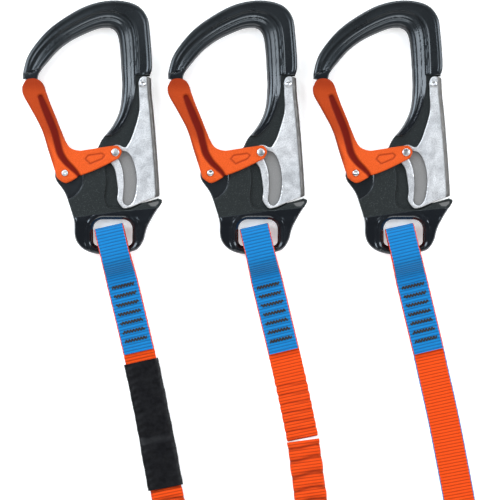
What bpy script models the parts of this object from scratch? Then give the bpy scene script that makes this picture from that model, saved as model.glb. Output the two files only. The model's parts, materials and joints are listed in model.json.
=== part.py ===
"""Three-hook safety tether: three forged double-action hooks joined by two webbing legs.

Sizes are in millimetres until mesh_object() turns them into metres. X runs from the
harness hook to the far hooks, Y from the webbing up through the hooks, Z up from the
surface that the tether lies on. Each hook is drawn about its gate pivot, scaled about the
bar of its eye, and set down at its station.
"""

import math

import bpy
import bmesh
import numpy as np
from mathutils import Matrix, Vector

MM = 0.001

# Overall sizes
HOOK_LENGTH = 173.9  # eye bar to crown
HOOK_SPACING = 99.2  # from one hook to the next
GAP = 0.3  # between touching pieces

# Forged body, half thicknesses from the middle plane
BOW_HALF = 5.3
PLATE_HALF = 4.6
WEB_HALF = 2.2
BAR_HALF = 3.6
BOW_EDGE = 1.6  # rounding of the bow's edges

# Gate: two cheeks joined by a wall along the inner side of the limb
GATE_SHEET = 2.0
GATE_WALL = 2.0
GATE_TRAVEL = 42.0  # degrees

# Rivet heads on the gate; the hooks lie on them
HEAD_HEIGHT = 0.7
RIVET_REACH = PLATE_HALF + GATE_SHEET + 2 * GAP + HEAD_HEIGHT  # half of the hook's thickness

# Lever: folded sheet with two cheeks and a back
LEVER_SHEET = 1.8
LEVER_TRAVEL = 6.0  # degrees

# Pins
RIVET_R = 1.5
LINK_PIN_R = 1.25
RIVET_HEAD_R = RIVET_R + 0.6
LEVER_HEAD_R = RIVET_R + 0.8
LINK_HEAD_R = LINK_PIN_R + 1.35
LEVER_HEAD_HEIGHT = 0.8
PIN_CLEARANCE = 0.3  # round a shaft in its hole
SLOT_CLEARANCE = 0.3  # round the link pin in its slots

# Springs
SPRING_WIRE_R = 0.4
GATE_COIL_R = 2.8
LEVER_COIL_LEAN = 0.046  # the lever's coil sits this much nearer its rivet than mid-room
LEVER_TAIL = 20.0  # drawn height of the tail below the lever's pivot
LEVER_TAIL_SPACE = 0.893  # from the tail's end across to the inside of the lever's back
COIL_TURNS = 2.5

# Webbing
WEBBING_WIDTH = 21.5
WEBBING_THICKNESS = 1.9
FOLD_WIDTH = WEBBING_WIDTH - 2.5  # where the strap bunches inside the eye
LOOP_HALF = 5.2  # half the open height of the sewn loop round the eye bar
LOOP_REACH = 16.6  # from the eye bar to the outside of the fold
LOOP_FLAT = 7.0  # from the bar, both layers run level this far
TACKS_START = 22.0  # along the strap from the bar to the first row of stitches
FLAP_END = 72.0  # along the strap from the bar to the cut end of the folded part
ELASTIC_WIDTH = WEBBING_WIDTH + 0.6
ELASTIC_THICKNESS = 4.2
ELASTIC_WALL = 1.0
CORE_WIDTH = ELASTIC_WIDTH - 6.1
CORE_THICKNESS = 1.2

# Junction sleeve of the harness strap
SLEEVE_START = 78.6  # along the harness strap from the eye bar
SLEEVE_LENGTH = 88.0
SLEEVE_WALL = 0.8
SLEEVE_OVERLAP = 54.0  # how far the harness strap reaches into the sleeve
SLEEVE_STEP = 0.62  # share of the sleeve up to its step, where the third strap ends
SLEEVE_STEP_HEIGHT = 1.2

# Eye, sized to the webbing and placed from the bar
EYE_WIDTH = WEBBING_WIDTH + 5.2
EYE_HEIGHT = 18.0
EYE_CORNER_R = 6.5
EYE_BAR_CORNER_R = 3.6
EYE_PLACE = (-1.4, 11.5)

# Points of one hook, about its gate pivot
DRAWN_LENGTH = 173.9
BAR = (33.9, -52.2)
GATE_PIVOT = (0.0, 0.0)
LINK_PIN = (34.4, 14.1)
LEVER_PIVOT = (53.1, 60.9)
GATE_WALL_NEAR_PIVOT = (0.2, 21.8)

BODY_RUNS = [
    # outer side of the bow, from the nose over the crown to the lever's top
    [(-28.9, 64.3), (-28.5, 69.7), (-24.4, 81.9), (-12.1, 97.3), (3.9, 108.8), (18.7, 115.7),
     (34.4, 118.0), (48.4, 115.0), (56.0, 106.7), (58.1, 94.1), (59.4, 73.2), (57.8, 66.2)],
    # edge of the web inside the lever
    [(55.9, 66.0), (55.6, 40.0), (54.5, 20.0), (52.6, -4.0), (52.0, -17.0)],
    # tip below the lever
    [(52.2, -20.4), (58.0, -18.9), (63.5, -17.2)],
    # right side, bar and left side of the eye, up to the gate's ear
    [(65.6, -18.0), (66.0, -20.0), (60.3, -28.9), (55.8, -37.7), (53.6, -45.6), (50.1, -51.2),
     (46.2, -53.4), (34.6, -55.7), (23.2, -55.5), (14.0, -52.8), (8.8, -48.3), (6.5, -42.5),
     (6.2, -33.4), (4.2, -25.4), (-0.1, -13.5), (-5.6, -5.7), (-7.0, -2.0)],
    # ear round the gate pivot and the edge hidden by the gate's arm
    [(-7.0, -2.0), (-6.4, 2.2), (-3.4, 5.5), (1.0, 6.9), (8.0, 8.6), (15.0, 11.6), (22.7, 17.8)],
    # inner side of the spine up to the crown
    [(22.7, 17.8), (25.4, 23.3), (32.6, 32.8), (37.3, 43.4), (38.8, 57.9), (38.3, 72.0),
     (37.6, 83.7), (36.3, 92.7), (33.8, 97.4), (30.0, 99.3)],
    # crown seat and inner side of the bow down to the nose
    [(25.0, 99.3), (18.7, 97.3), (5.7, 91.3), (-4.8, 83.7), (-13.5, 73.9), (-17.9, 68.0),
     (-18.7, 64.3)],
    # tongue that enters the gate
    [(-18.9, 63.9), (-19.6, 57.5), (-22.6, 54.4), (-25.6, 57.5), (-26.6, 63.9)],
]
# Nose below this line is thinner, for the gate's cheeks
NOSE_RECESS = [(-34.0, 63.4), (-27.5, 66.4), (-17.7, 70.9), (-14.0, 70.0), (-14.0, 50.0),
               (-34.0, 50.0)]
PLATE_ZONE = [(-14.0, 14.0), (20.0, 19.6), (75.0, 19.6), (75.0, -22.5), (59.0, -24.1),
              (40.0, -25.9), (20.0, -28.5), (-6.0, -32.0), (-14.0, -20.0)]
BAR_ZONE = [(17.5, -62.0), (17.5, -53.0), (20.5, -46.5), (47.0, -46.5), (50.5, -53.0),
            (50.5, -62.0)]
# Room for the lever: its floor is the web
POCKET_RUNS = [
    [(27.5, 25.5), (31.5, 25.0), (35.9, 28.0), (40.6, 33.6), (43.6, 39.4), (45.8, 45.2),
     (47.6, 52.0), (48.4, 60.0), (48.5, 66.6)],
    [(75.0, 66.6), (75.0, -14.0)],
    [(66.5, -15.6), (54.8, -20.0), (45.6, -24.3), (42.0, -25.0), (36.0, -24.6), (31.5, -23.9),
     (28.6, -22.4), (27.2, -18.5), (27.1, -15.0), (27.8, -11.0), (28.2, -5.7), (27.8, 0.1),
     (26.6, 4.6), (24.8, 8.6), (22.4, 12.5)],
    [(20.5, 18.0), (24.0, 25.0)],
]
GATE_RUNS = [
    # rounded tip and the limb's inner side
    [(-29.1, 59.0), (-26.6, 63.4), (-22.0, 64.6), (-17.5, 63.5), (-14.7, 60.1), (-13.0, 55.0),
     (-10.0, 46.8), (-6.8, 39.1), (-2.8, 28.9), (0.6, 21.0), (4.0, 17.0), (9.7, 15.3),
     (16.0, 16.1), (32.9, 18.6), (36.4, 18.3), (38.7, 14.6), (36.8, 10.0)],
    # lower side of the arm, lobe round the pivot, outer side of the limb
    [(36.8, 10.0), (29.8, 6.4), (19.9, 1.7), (10.1, -2.2), (3.1, -6.1), (-0.5, -6.7),
     (-5.2, -3.4), (-6.4, 0.1), (-11.1, 14.7), (-15.8, 29.6), (-23.2, 43.7), (-27.7, 51.6),
     (-29.1, 55.5), (-29.1, 59.0)],
]
GATE_WALL_RUN = [(-16.0, 61.0), (-14.9, 59.2), (-13.4, 54.8), (-10.4, 46.6), (-7.2, 38.9),
                 (-3.2, 28.7), GATE_WALL_NEAR_PIVOT]
LEVER_RUNS = [
    # top, and the folded back edge down to the free end
    [(50.2, 61.8), (51.2, 64.6), (53.4, 66.0), (57.6, 65.4)],
    [(58.6, 64.6), (59.2, 53.1), (60.4, 42.0), (62.6, 15.9), (64.4, -11.6), (64.2, -15.7)],
    # free end and the limb left of the slot
    [(64.2, -15.7), (54.8, -19.1), (45.3, -23.2)],
    [(42.2, -24.0), (39.5, -23.8), (35.7, -18.4), (36.1, -11.0), (34.1, 2.1), (31.0, 7.4),
     (29.6, 13.0), (31.8, 18.0), (36.0, 19.2), (40.0, 17.6)],
    # left edge above the slot
    [(41.9, 17.8), (45.5, 24.5), (49.8, 38.2), (50.8, 46.1), (50.2, 61.8)],
]
LEVER_BACK_RUN = [(58.3, 64.6), (58.9, 53.1), (60.1, 42.0), (62.3, 15.9), (64.1, -11.6),
                  (63.9, -15.2)]
# Right edge of the lever's slot, from its top to its bottom
SLOT_RIGHT_RUN = [(39.6, 15.0), (42.6, 14.2), (45.6, 10.2), (47.9, 3.6), (48.9, -3.5),
                  (48.6, -10.5), (47.3, -17.2), (45.2, -21.0)]

# Straps: hand-laid middle lines from each eye bar, in the drawn hook's own place
STRAP_START = [(30.9, -35.0), (34.7, -52.2), (50.3, -122.6)]
HARNESS_RUN = STRAP_START + [(60.2, -170.0), (68.8, -216.0), (76.0, -250.0)]
ELASTIC_RUN = STRAP_START + [(57.0, -152.0), (63.3, -182.4)]
STATIC_RUN = STRAP_START + [(53.0, -135.0), (61.0, -172.0)]
SEAM_AT = 132.8  # along the elastic strap from the eye bar to the seam of the elastic leg
STATIC_JOINT_AT = 69.0  # along the static strap, hidden by the folded flap

# Legs: (station, x, y, lift, roll in degrees); the station is the hook that x counts from
ELASTIC_ROUTE = [
    (0, 63.3, -187.0, 3.3, 0), (0, 68.7, -215.3, 3.3, 0), (0, 74.0, -240.0, 2.8, 0),
    (0, 81.0, -270.0, 2.4, 4),
    (0, 88.0, -300.0, 1.6, 16), (0, 93.0, -335.0, 0.6, 45), (0, 96.0, -375.0, 0.0, 72),
    (0, 97.5, -420.0, 0.0, 88), (0, 98.0, -465.0, 0.0, 90), (0, 103.0, -505.0, 0.0, 90),
    (0, 121.0, -532.0, 0.0, 90), (1, 46.0, -542.0, 0.0, 90), (1, 70.0, -532.0, 0.0, 90),
    (1, 88.0, -505.0, 0.0, 90), (1, 93.0, -465.0, 0.0, 90), (1, 92.5, -420.0, 0.0, 88),
    (1, 90.0, -375.0, 0.0, 72), (1, 85.5, -335.0, 0.0, 45), (1, 80.0, -300.0, 0.0, 18),
    (1, 75.0, -265.0, 0.0, 5), (1, 69.0, -225.0, 0.0, 0), (1, 63.4, -182.9, 0.0, 0),
]
STATIC_ROUTE = [
    (0, 63.3, -187.0, 1.1, 0), (0, 68.5, -214.5, 1.1, 0), (0, 70.6, -236.0, 0.2, 0),
    (0, 67.0, -262.0, 0.0, 0),
    (0, 59.0, -300.0, 0.0, -14), (0, 52.0, -345.0, 0.0, -50), (0, 47.5, -395.0, 0.0, -82),
    (0, 46.5, -445.0, 0.0, -90), (0, 54.0, -500.0, 0.0, -90), (0, 79.0, -550.0, 0.0, -90),
    (0, 120.0, -581.0, 0.0, -90), (2, -31.0, -590.0, 0.0, -90), (2, 20.0, -581.0, 0.0, -90),
    (2, 61.0, -550.0, 0.0, -90), (2, 85.0, -500.0, 0.0, -90), (2, 92.5, -445.0, 0.0, -90),
    (2, 92.5, -395.0, 0.0, -82), (2, 90.0, -345.0, 0.0, -50), (2, 84.5, -300.0, 0.0, -14),
    (2, 78.0, -262.0, 0.0, 0), (2, 71.0, -223.0, 0.0, 0), (2, 61.2, -172.0, 0.0, 0),
    (2, 53.0, -135.0, 0.0, 0), (2, 49.8, -120.3, 0.0, 0),
]
ROUTE_STEP = 12.0  # between the cross-sections of a leg

STATIONS = ("harness", "elastic", "static")
CURVE_STEP = 6.5  # between the points of an outline
SCALE = HOOK_LENGTH / DRAWN_LENGTH

COLOURS = {
    "forged": ((0.012, 0.013, 0.015, 1.0), 0.28, 0.6),
    "gate": ((0.72, 0.09, 0.02, 1.0), 0.45, 0.5),
    "lever": ((0.75, 0.77, 0.80, 1.0), 0.3, 1.0),
    "rivet": ((0.68, 0.69, 0.72, 1.0), 0.25, 1.0),
    "spring": ((0.45, 0.46, 0.48, 1.0), 0.3, 1.0),
    "blue_webbing": ((0.02, 0.19, 0.55, 1.0), 0.8, 0.0),
    "orange_webbing": ((0.9, 0.09, 0.01, 1.0), 0.8, 0.0),
    "sleeve": ((0.01, 0.01, 0.011, 1.0), 0.4, 0.0),
    "rubber": ((0.05, 0.05, 0.05, 1.0), 0.7, 0.0),
}


# ---------------------------------------------------------------- curves and outlines

def spline(points, step):
    """Points about step apart on a Catmull-Rom curve through the given points."""
    p = [np.array(q, float) for q in points]
    if len(p) < 3:
        return [tuple(q) for q in p]
    p = [2 * p[0] - p[1]] + p + [2 * p[-1] - p[-2]]
    out = []
    for a, b, c, d in zip(p, p[1:], p[2:], p[3:]):
        count = max(1, round(np.linalg.norm((c - b)[:2]) / step))
        for i in range(count):
            t = i / count
            out.append(tuple(0.5 * (2 * b + (c - a) * t + (2 * a - 5 * b + 4 * c - d) * t * t
                                    + (3 * b - a - 3 * c + d) * t ** 3)))
    return out + [tuple(p[-2])]


def outline(runs):
    """A closed outline from smooth runs that meet at corners."""
    points = []
    for run in runs:
        for q in spline(run, CURVE_STEP):
            if not points or math.dist(q, points[-1]) > 0.05:
                points.append(q)
    if math.dist(points[0], points[-1]) < 0.05:
        points.pop()
    return points


def scaled(points):
    """Drawn points of a hook, from the eye bar and at the hook's own length."""
    return [((x - BAR[0]) * SCALE, (y - BAR[1]) * SCALE) for x, y in points]


def lever_room(below):
    """From the lever's pivot across to the inside of its back, at a drawn depth below it."""
    level = LEVER_PIVOT[1] - below
    tops = [i for i, (_, y) in enumerate(LEVER_BACK_RUN) if y >= level]
    (x, y), (next_x, next_y) = LEVER_BACK_RUN[tops[-1]:tops[-1] + 2]
    share = (y - level) / (y - next_y)
    return (x + (next_x - x) * share - LEVER_PIVOT[0]) * SCALE - LEVER_SHEET


def lever_coil_radius():
    """The lever's coil runs midway between its rivet and the lever's back."""
    return (RIVET_R + lever_room(0)) / 2 - LEVER_COIL_LEAN


def lever_tail():
    """The tail of the lever's spring lies along the inside of the lever's back."""
    across = lever_room(LEVER_TAIL) - LEVER_TAIL_SPACE - lever_coil_radius()
    return across, -LEVER_TAIL * SCALE


def circle(centre, radius, count=16):
    return [(centre[0] + radius * math.cos(math.tau * i / count),
             centre[1] + radius * math.sin(math.tau * i / count)) for i in range(count)]


def rounded_box(centre, width, height, top_radius, bottom_radius):
    """A rectangle with round corners, four points to a corner."""
    points = []
    for quarter, (sx, sy) in enumerate(((1, 1), (-1, 1), (-1, -1), (1, -1))):
        radius = top_radius if sy > 0 else bottom_radius
        cx = centre[0] + sx * (width / 2 - radius)
        cy = centre[1] + sy * (height / 2 - radius)
        for i in range(4):
            turn = math.radians(90 * quarter + 30 * i)
            points.append((cx + radius * math.cos(turn), cy + radius * math.sin(turn)))
    return points


def turned(point, centre, degrees):
    """A point turned clockwise about a centre."""
    a = -math.radians(degrees)
    x, y = point[0] - centre[0], point[1] - centre[1]
    return (centre[0] + x * math.cos(a) - y * math.sin(a),
            centre[1] + x * math.sin(a) + y * math.cos(a))


def strip(line, half):
    """The outline of a line widened to both sides, with round ends."""
    p = np.array(line, float)
    run = np.gradient(p, axis=0)
    run /= np.linalg.norm(run, axis=1)[:, None]
    side = np.stack([-run[:, 1], run[:, 0]], axis=1)

    def cap(place, across, ahead):
        turns = [math.pi * k / 6 for k in range(1, 6)]
        return [place + half * (across * math.cos(a) + ahead * math.sin(a)) for a in turns]

    points = list(p + side * half) + cap(p[-1], side[-1], run[-1])
    points += list((p - side * half)[::-1]) + cap(p[0], -side[0], -run[0])
    return [tuple(q) for q in points]


def widened(run, width):
    """The outline between a run and the same run moved to its right by width."""
    p = np.array(spline(run, CURVE_STEP), float)
    along = np.gradient(p, axis=0)
    along /= np.linalg.norm(along, axis=1)[:, None]
    side = np.stack([along[:, 1], -along[:, 0]], axis=1) * width
    return [tuple(q) for q in p] + [tuple(q) for q in (p + side)[::-1]]


def link_pin_path(count=12):
    """Where the link pin is on the closed lever while gate and lever move together."""
    path = []
    for i in range(count + 1):
        share = i / count
        pin = turned(scaled([LINK_PIN])[0], scaled([GATE_PIVOT])[0], GATE_TRAVEL * share)
        path.append(turned(pin, scaled([LEVER_PIVOT])[0], -LEVER_TRAVEL * share))
    return path


# ---------------------------------------------------------------- meshes

def prism(points, low, high):
    """A flat outline carried from one height to another."""
    bm = bmesh.new()
    base = [bm.verts.new((x, y, low)) for x, y in points]
    face = bm.faces.new(base)
    top = bmesh.ops.extrude_face_region(bm, geom=[face])["geom"]
    for v in top:
        if isinstance(v, bmesh.types.BMVert):
            v.co.z = high
    bmesh.ops.recalc_face_normals(bm, faces=bm.faces)
    return finish_mesh(bm)


def finish_mesh(bm):
    mesh = bpy.data.meshes.new("shape")
    bm.to_mesh(mesh)
    bm.free()
    return mesh


def turned_solid(profile, centre, count=12):
    """A (radius, height) profile spun about a vertical line; it starts and ends on the line."""
    bm = bmesh.new()
    rings = []
    for radius, height in profile:
        if radius == 0:
            rings.append([bm.verts.new((centre[0], centre[1], height))])
        else:
            rings.append([bm.verts.new((x, y, height)) for x, y in circle(centre, radius, count)])
    for low, high in zip(rings, rings[1:]):
        for i in range(count):
            j = (i + 1) % count
            corners = [low[i % len(low)], low[j % len(low)], high[j % len(high)],
                       high[i % len(high)]]
            bm.faces.new(list(dict.fromkeys(corners)))
    bmesh.ops.recalc_face_normals(bm, faces=bm.faces)
    return finish_mesh(bm)


def tube(rings, closed_ends=True):
    """Faces between rings of the same number of points, with a cap at each end."""
    bm = bmesh.new()
    made = [[bm.verts.new(q) for q in ring] for ring in rings]
    for a, b in zip(made, made[1:]):
        for i in range(len(a)):
            j = (i + 1) % len(a)
            bm.faces.new((a[i], a[j], b[j], b[i]))
    if closed_ends:
        bm.faces.new(list(reversed(made[0])))
        bm.faces.new(made[-1])
    bmesh.ops.recalc_face_normals(bm, faces=bm.faces)
    return finish_mesh(bm)


def combine(mesh, adds=(), cuts=(), edge=0.0):
    """One mesh after unions, cuts and a rounded edge, all worked out by modifiers."""
    scratch = []

    def helper(shape):
        o = bpy.data.objects.new("helper", shape)
        bpy.context.collection.objects.link(o)
        o.hide_render = True
        o.display_type = "WIRE"
        scratch.append(o)
        return o

    main = helper(mesh)
    if edge:
        bevel = main.modifiers.new("edge", "BEVEL")
        bevel.width = edge
        bevel.segments = 1
        bevel.limit_method = "ANGLE"
        bevel.angle_limit = math.radians(50)
        bevel.use_clamp_overlap = True
    for operation, shapes in (("UNION", adds), ("DIFFERENCE", cuts)):
        for shape in shapes:
            boolean = main.modifiers.new(operation.lower(), "BOOLEAN")
            boolean.operation = operation
            boolean.solver = "EXACT"
            boolean.object = helper(shape)
    bpy.context.view_layer.update()
    result = bpy.data.meshes.new_from_object(main.evaluated_get(bpy.context.evaluated_depsgraph_get()))
    for o in scratch:
        bpy.data.objects.remove(o)
    return result


def material(name):
    made = bpy.data.materials.get(name)
    if made:
        return made
    colour, roughness, metallic = COLOURS[name]
    made = bpy.data.materials.new(name)
    made.use_nodes = True
    shader = made.node_tree.nodes["Principled BSDF"]
    shader.inputs["Base Color"].default_value = colour
    shader.inputs["Roughness"].default_value = roughness
    shader.inputs["Metallic"].default_value = metallic
    return made


def mesh_object(name, mesh, pivot, finish, parent, place):
    """An object in metres whose origin is its pivot; the mesh is drawn about the eye bar."""
    o = bpy.data.objects.new(name, mesh)
    bpy.context.collection.objects.link(o)
    if not mesh.get("in_metres"):
        mesh.transform(Matrix.Scale(MM, 4) @ Matrix.Translation(-Vector(pivot)))
        mesh.materials.clear()
        mesh.materials.append(material(finish))
        mesh.shade_smooth()
        mesh.set_sharp_from_angle(angle=math.radians(32))
        mesh["in_metres"] = True
    o.parent = parent
    o.location = (Vector(place) + Vector(pivot)) * MM
    return o


# ---------------------------------------------------------------- pieces of a hook

def both_sides(points, low, high):
    """The same prism on the front and on the back."""
    return [prism(points, low, high), prism(points, -high, -low)]


def hook_body():
    """Forged body: bow, spine, plate with the lever's pocket, and the eye."""
    beyond = RIVET_REACH + 4
    shaft_hole = RIVET_R + PIN_CLEARANCE
    gate, lever = scaled([GATE_PIVOT])[0], scaled([LEVER_PIVOT])[0]
    arc = [turned(scaled([LINK_PIN])[0], gate, GATE_TRAVEL * i / 8) for i in range(9)]
    eye = rounded_box(EYE_PLACE, EYE_WIDTH, EYE_HEIGHT, EYE_CORNER_R, EYE_BAR_CORNER_R)
    cuts = both_sides(scaled(NOSE_RECESS), PLATE_HALF, beyond)
    cuts += both_sides(scaled(PLATE_ZONE), PLATE_HALF, beyond)
    cuts += both_sides(scaled(BAR_ZONE), BAR_HALF, beyond)
    cuts += both_sides(scaled(outline(POCKET_RUNS)), WEB_HALF, beyond)
    cuts.append(prism(eye, -beyond, beyond))
    cuts.append(prism(strip(arc, LINK_PIN_R + SLOT_CLEARANCE), -beyond, beyond))
    cuts.append(prism(circle(gate, shaft_hole), -beyond, beyond))
    cuts.append(prism(circle(lever, shaft_hole), -beyond, beyond))
    cuts += spring_rooms()
    return combine(prism(scaled(outline(BODY_RUNS)), -BOW_HALF, BOW_HALF), cuts=cuts,
                   edge=BOW_EDGE)


def coil_half(turns=COIL_TURNS):
    """Half the height of a close coil."""
    return (turns + 1) * SPRING_WIRE_R + GAP


def spring_rooms():
    """Room in the body for the two springs and their tails."""
    gate, lever = scaled([GATE_PIVOT])[0], scaled([LEVER_PIVOT])[0]
    reach = GATE_COIL_R + SPRING_WIRE_R + GAP
    room = [prism(circle(gate, reach), -coil_half(), coil_half())]
    wide, far = reach - 0.1, 16.0
    slot = [(gate[0] - wide, gate[1]), (gate[0] + wide * 0.8, gate[1] - wide * 0.6),
            (gate[0] + far, gate[1] + far * 0.62), (gate[0] - wide, gate[1] + far)]
    room.append(prism(slot, -coil_half() - 0.05, coil_half() + 0.05))
    reach = lever_coil_radius() + SPRING_WIRE_R + GAP
    room.append(prism(circle(lever, reach), -coil_half(), coil_half()))
    groove = [(lever[0], lever[1] - 28 * SCALE), (lever[0] + 8, lever[1] - 28 * SCALE),
              (lever[0] + 8, lever[1]), (lever[0], lever[1])]
    room.append(prism(groove, -coil_half() - 0.05, coil_half() + 0.05))
    return room


def gate_piece():
    """Two cheeks, joined by a wall along the limb's inner side."""
    low = PLATE_HALF + GAP
    cheek = scaled(outline(GATE_RUNS))
    front, back = both_sides(cheek, low, low + GATE_SHEET)
    wall = prism(widened(scaled(GATE_WALL_RUN), GATE_WALL), -low - GAP, low + GAP)
    beyond = RIVET_REACH + 4
    holes = [prism(circle(scaled([p])[0], radius + PIN_CLEARANCE), -beyond, beyond)
             for p, radius in ((GATE_PIVOT, RIVET_R), (LINK_PIN, LINK_PIN_R))]
    return combine(wall, adds=[front, back], cuts=holes)


def lever_piece():
    """Two cheeks with a curved slot, joined by a folded back."""
    low = WEB_HALF + GAP
    cheek = scaled(outline(LEVER_RUNS))
    front, back = both_sides(cheek, low, low + LEVER_SHEET)
    spine = prism(widened(scaled(LEVER_BACK_RUN), LEVER_SHEET), -low - GAP, low + GAP)
    beyond = RIVET_REACH + 4
    path = link_pin_path()
    right = scaled(spline(SLOT_RIGHT_RUN, CURVE_STEP))
    room = strip(path, LINK_PIN_R + SLOT_CLEARANCE)
    window = path + right[::-1]
    holes = [prism(room, -beyond, beyond), prism(window, -beyond, beyond),
             prism(circle(scaled([LEVER_PIVOT])[0], RIVET_R + PIN_CLEARANCE), -beyond, beyond)]
    return combine(spine, adds=[front, back], cuts=holes)


def rivet(centre, under_head, head_radius, top, shaft_radius=RIVET_R):
    """A shaft with a low domed head at each end."""
    half = [(0, top), (head_radius * 0.55, top - 0.08), (head_radius, under_head + 0.25),
            (head_radius, under_head), (shaft_radius, under_head)]
    other = [(r, -z) for r, z in reversed(half)]
    return turned_solid(half + other, scaled([centre])[0])


def coil_spring(centre, radius, tail, winding):
    """A close wound coil whose end runs on as a straight tail; winding is 1 or -1."""
    turns, per_turn, sides = COIL_TURNS, 10, 4
    line = []
    start = math.atan2(tail[1], tail[0]) - winding * math.pi / 2
    count = int(turns * per_turn)
    pitch = 2 * SPRING_WIRE_R + 0.12
    for i in range(count + 1):
        a = start + winding * math.tau * (i - count) / per_turn
        line.append((centre[0] + radius * math.cos(a), centre[1] + radius * math.sin(a),
                     pitch * (i / per_turn - turns / 2)))
    end = Vector(line[-1])
    line.append(tuple(end + Vector((tail[0], tail[1], 0)) * 0.15))
    line.append(tuple(end + Vector((tail[0], tail[1], 0))))
    rings = []
    for i, p in enumerate(line):
        ahead = Vector(line[min(i + 1, len(line) - 1)]) - Vector(line[max(i - 1, 0)])
        ahead.z = 0
        out = Vector((ahead.y, -ahead.x, 0)).normalized()
        rings.append([tuple(Vector(p) + out * (SPRING_WIRE_R * math.cos(math.tau * k / sides))
                            + Vector((0, 0, SPRING_WIRE_R * math.sin(math.tau * k / sides))))
                      for k in range(sides)])
    return tube(rings)


# ---------------------------------------------------------------- webbing

class MiddleLine:
    """The smooth middle line of a strap, read by its distance from the eye bar."""

    def __init__(self, run):
        self.points = np.array(spline([(x - BAR[0], y - BAR[1]) for x, y in run], 1.0))
        steps = np.linalg.norm(np.diff(self.points, axis=0), axis=1)
        self.along = np.concatenate([[0], np.cumsum(steps)])
        bar = np.argmin(np.abs(self.points[:, 1]))
        self.along -= self.along[bar]

    def at(self, distance):
        return np.array([np.interp(distance, self.along, self.points[:, k]) for k in (0, 1)])

    def side(self, distance):
        run = self.at(distance + 1) - self.at(distance - 1)
        run /= np.linalg.norm(run)
        return np.array([-run[1], run[0]])


def strap_section(line, distance, height, tilt, width, thickness):
    """Four corners of a strap's cross-section; tilt is its slope in the plane of the strap."""
    place, side = line.at(distance), line.side(distance)
    ahead = np.array([side[1], -side[0]])
    up = np.array([-math.sin(tilt) * ahead[0], -math.sin(tilt) * ahead[1], math.cos(tilt)])
    centre = np.array([place[0], place[1], height])
    across = np.array([side[0], side[1], 0])
    return [tuple(centre + across * (sx * width / 2) + up * (sz * thickness / 2))
            for sx, sz in ((1, 1), (-1, 1), (-1, -1), (1, -1))]


def loop_profile(lower_end, middle, end_lift):
    """(distance, height, tilt) of a sewn strap end: under the bar, round the fold and back."""
    t = WEBBING_THICKNESS
    low_flat, high_flat = t / 2, t / 2 + t + GAP
    low_loop, high_loop = middle - LOOP_HALF - t / 2, middle + LOOP_HALF + t / 2
    radius = (high_loop - low_loop) / 2
    fold = LOOP_REACH - radius - t / 2
    lower = [(TACKS_START + 4, low_flat), (TACKS_START - 4, low_flat + 0.1), (LOOP_FLAT, low_loop),
             (-fold, low_loop)]
    if end_lift:
        lower = [(lower_end, low_flat + end_lift), (SLEEVE_START - 1, low_flat + end_lift),
                 (FLAP_END - 2, low_flat)] + lower
    else:
        lower = [(lower_end, low_flat)] + lower
    upper = [(-fold, high_loop), (LOOP_FLAT, high_loop), (TACKS_START - 5, high_flat + 0.9),
             (TACKS_START + 4, high_flat), (FLAP_END, high_flat)]
    bend = [(-fold - radius * math.sin(a), middle - radius * math.cos(a))
            for a in np.linspace(0, math.pi, 9)[1:-1]]
    line = lower + bend + upper
    out = []
    for i, (s, z) in enumerate(line):
        before, after = line[max(i - 1, 0)], line[min(i + 1, len(line) - 1)]
        out.append((s, z, math.atan2(after[1] - before[1], after[0] - before[0])))
    return out


def sewn_end(run, lower_end, end_lift=0.0):
    """The doubled end of a strap that holds a hook's eye bar."""
    line = MiddleLine(run)
    rings = []
    for s, z, tilt in loop_profile(lower_end, RIVET_REACH, end_lift):
        width = np.interp(s, (LOOP_HALF, TACKS_START), (FOLD_WIDTH, WEBBING_WIDTH))
        rings.append(strap_section(line, s, z, tilt, width, WEBBING_THICKNESS))
    return tube(rings)


def route_points(route):
    """A leg's middle line: places, lifts and rolls read from a smooth curve through its points."""
    points = [(x + station * HOOK_SPACING, y, lift, roll) for station, x, y, lift, roll in route]
    return spline(points, ROUTE_STEP)


def leg_rings(route, width, thickness, rest_width, rest_thickness):
    """Cross-sections along a leg whose outer size, rest_width by rest_thickness, stays on the floor."""
    line = np.array(route_points(route))
    ahead = np.gradient(line[:, :2], axis=0)
    ahead /= np.linalg.norm(ahead, axis=1)[:, None]
    rings = []
    for (x, y, lift, roll), (ax, ay) in zip(line, ahead):
        turn = math.radians(roll)
        side = np.array([-ay * math.cos(turn), ax * math.cos(turn), math.sin(turn)])
        up = np.array([ay * math.sin(turn), -ax * math.sin(turn), math.cos(turn)])
        rise = rest_width / 2 * abs(math.sin(turn)) + rest_thickness / 2 * abs(math.cos(turn))
        centre = np.array([x - BAR[0], y - BAR[1], max(lift, 0) + rise])
        rings.append([tuple(centre + side * (sx * width / 2) + up * (sz * thickness / 2))
                      for sx, sz in ((1, 1), (-1, 1), (-1, -1), (1, -1))])
    return rings


def hollow(outer, wall):
    """A flat tube with outer and inner walls, joined by a rim at each end."""
    inner = sections_inside(outer, wall)
    bm = bmesh.new()
    shells = [[[bm.verts.new(q) for q in ring] for ring in rings] for rings in (outer, inner)]
    for rings in shells:
        for a, b in zip(rings, rings[1:]):
            for i in range(4):
                j = (i + 1) % 4
                bm.faces.new((a[i], a[j], b[j], b[i]))
    for end in (0, -1):
        for i in range(4):
            j = (i + 1) % 4
            bm.faces.new((shells[0][end][i], shells[0][end][j], shells[1][end][j],
                          shells[1][end][i]))
    bmesh.ops.recalc_face_normals(bm, faces=bm.faces)
    return finish_mesh(bm)


def sections_inside(rings, wall):
    """Each section moved in from its four sides by the same wall."""
    inside = []
    for ring in rings:
        p = [np.array(q) for q in ring]
        across, up = p[0] - p[1], p[0] - p[3]
        across *= wall / np.linalg.norm(across)
        up *= wall / np.linalg.norm(up)
        inside.append([tuple(p[0] - across - up), tuple(p[1] + across - up),
                       tuple(p[2] + across + up), tuple(p[3] - across + up)])
    return inside


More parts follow.
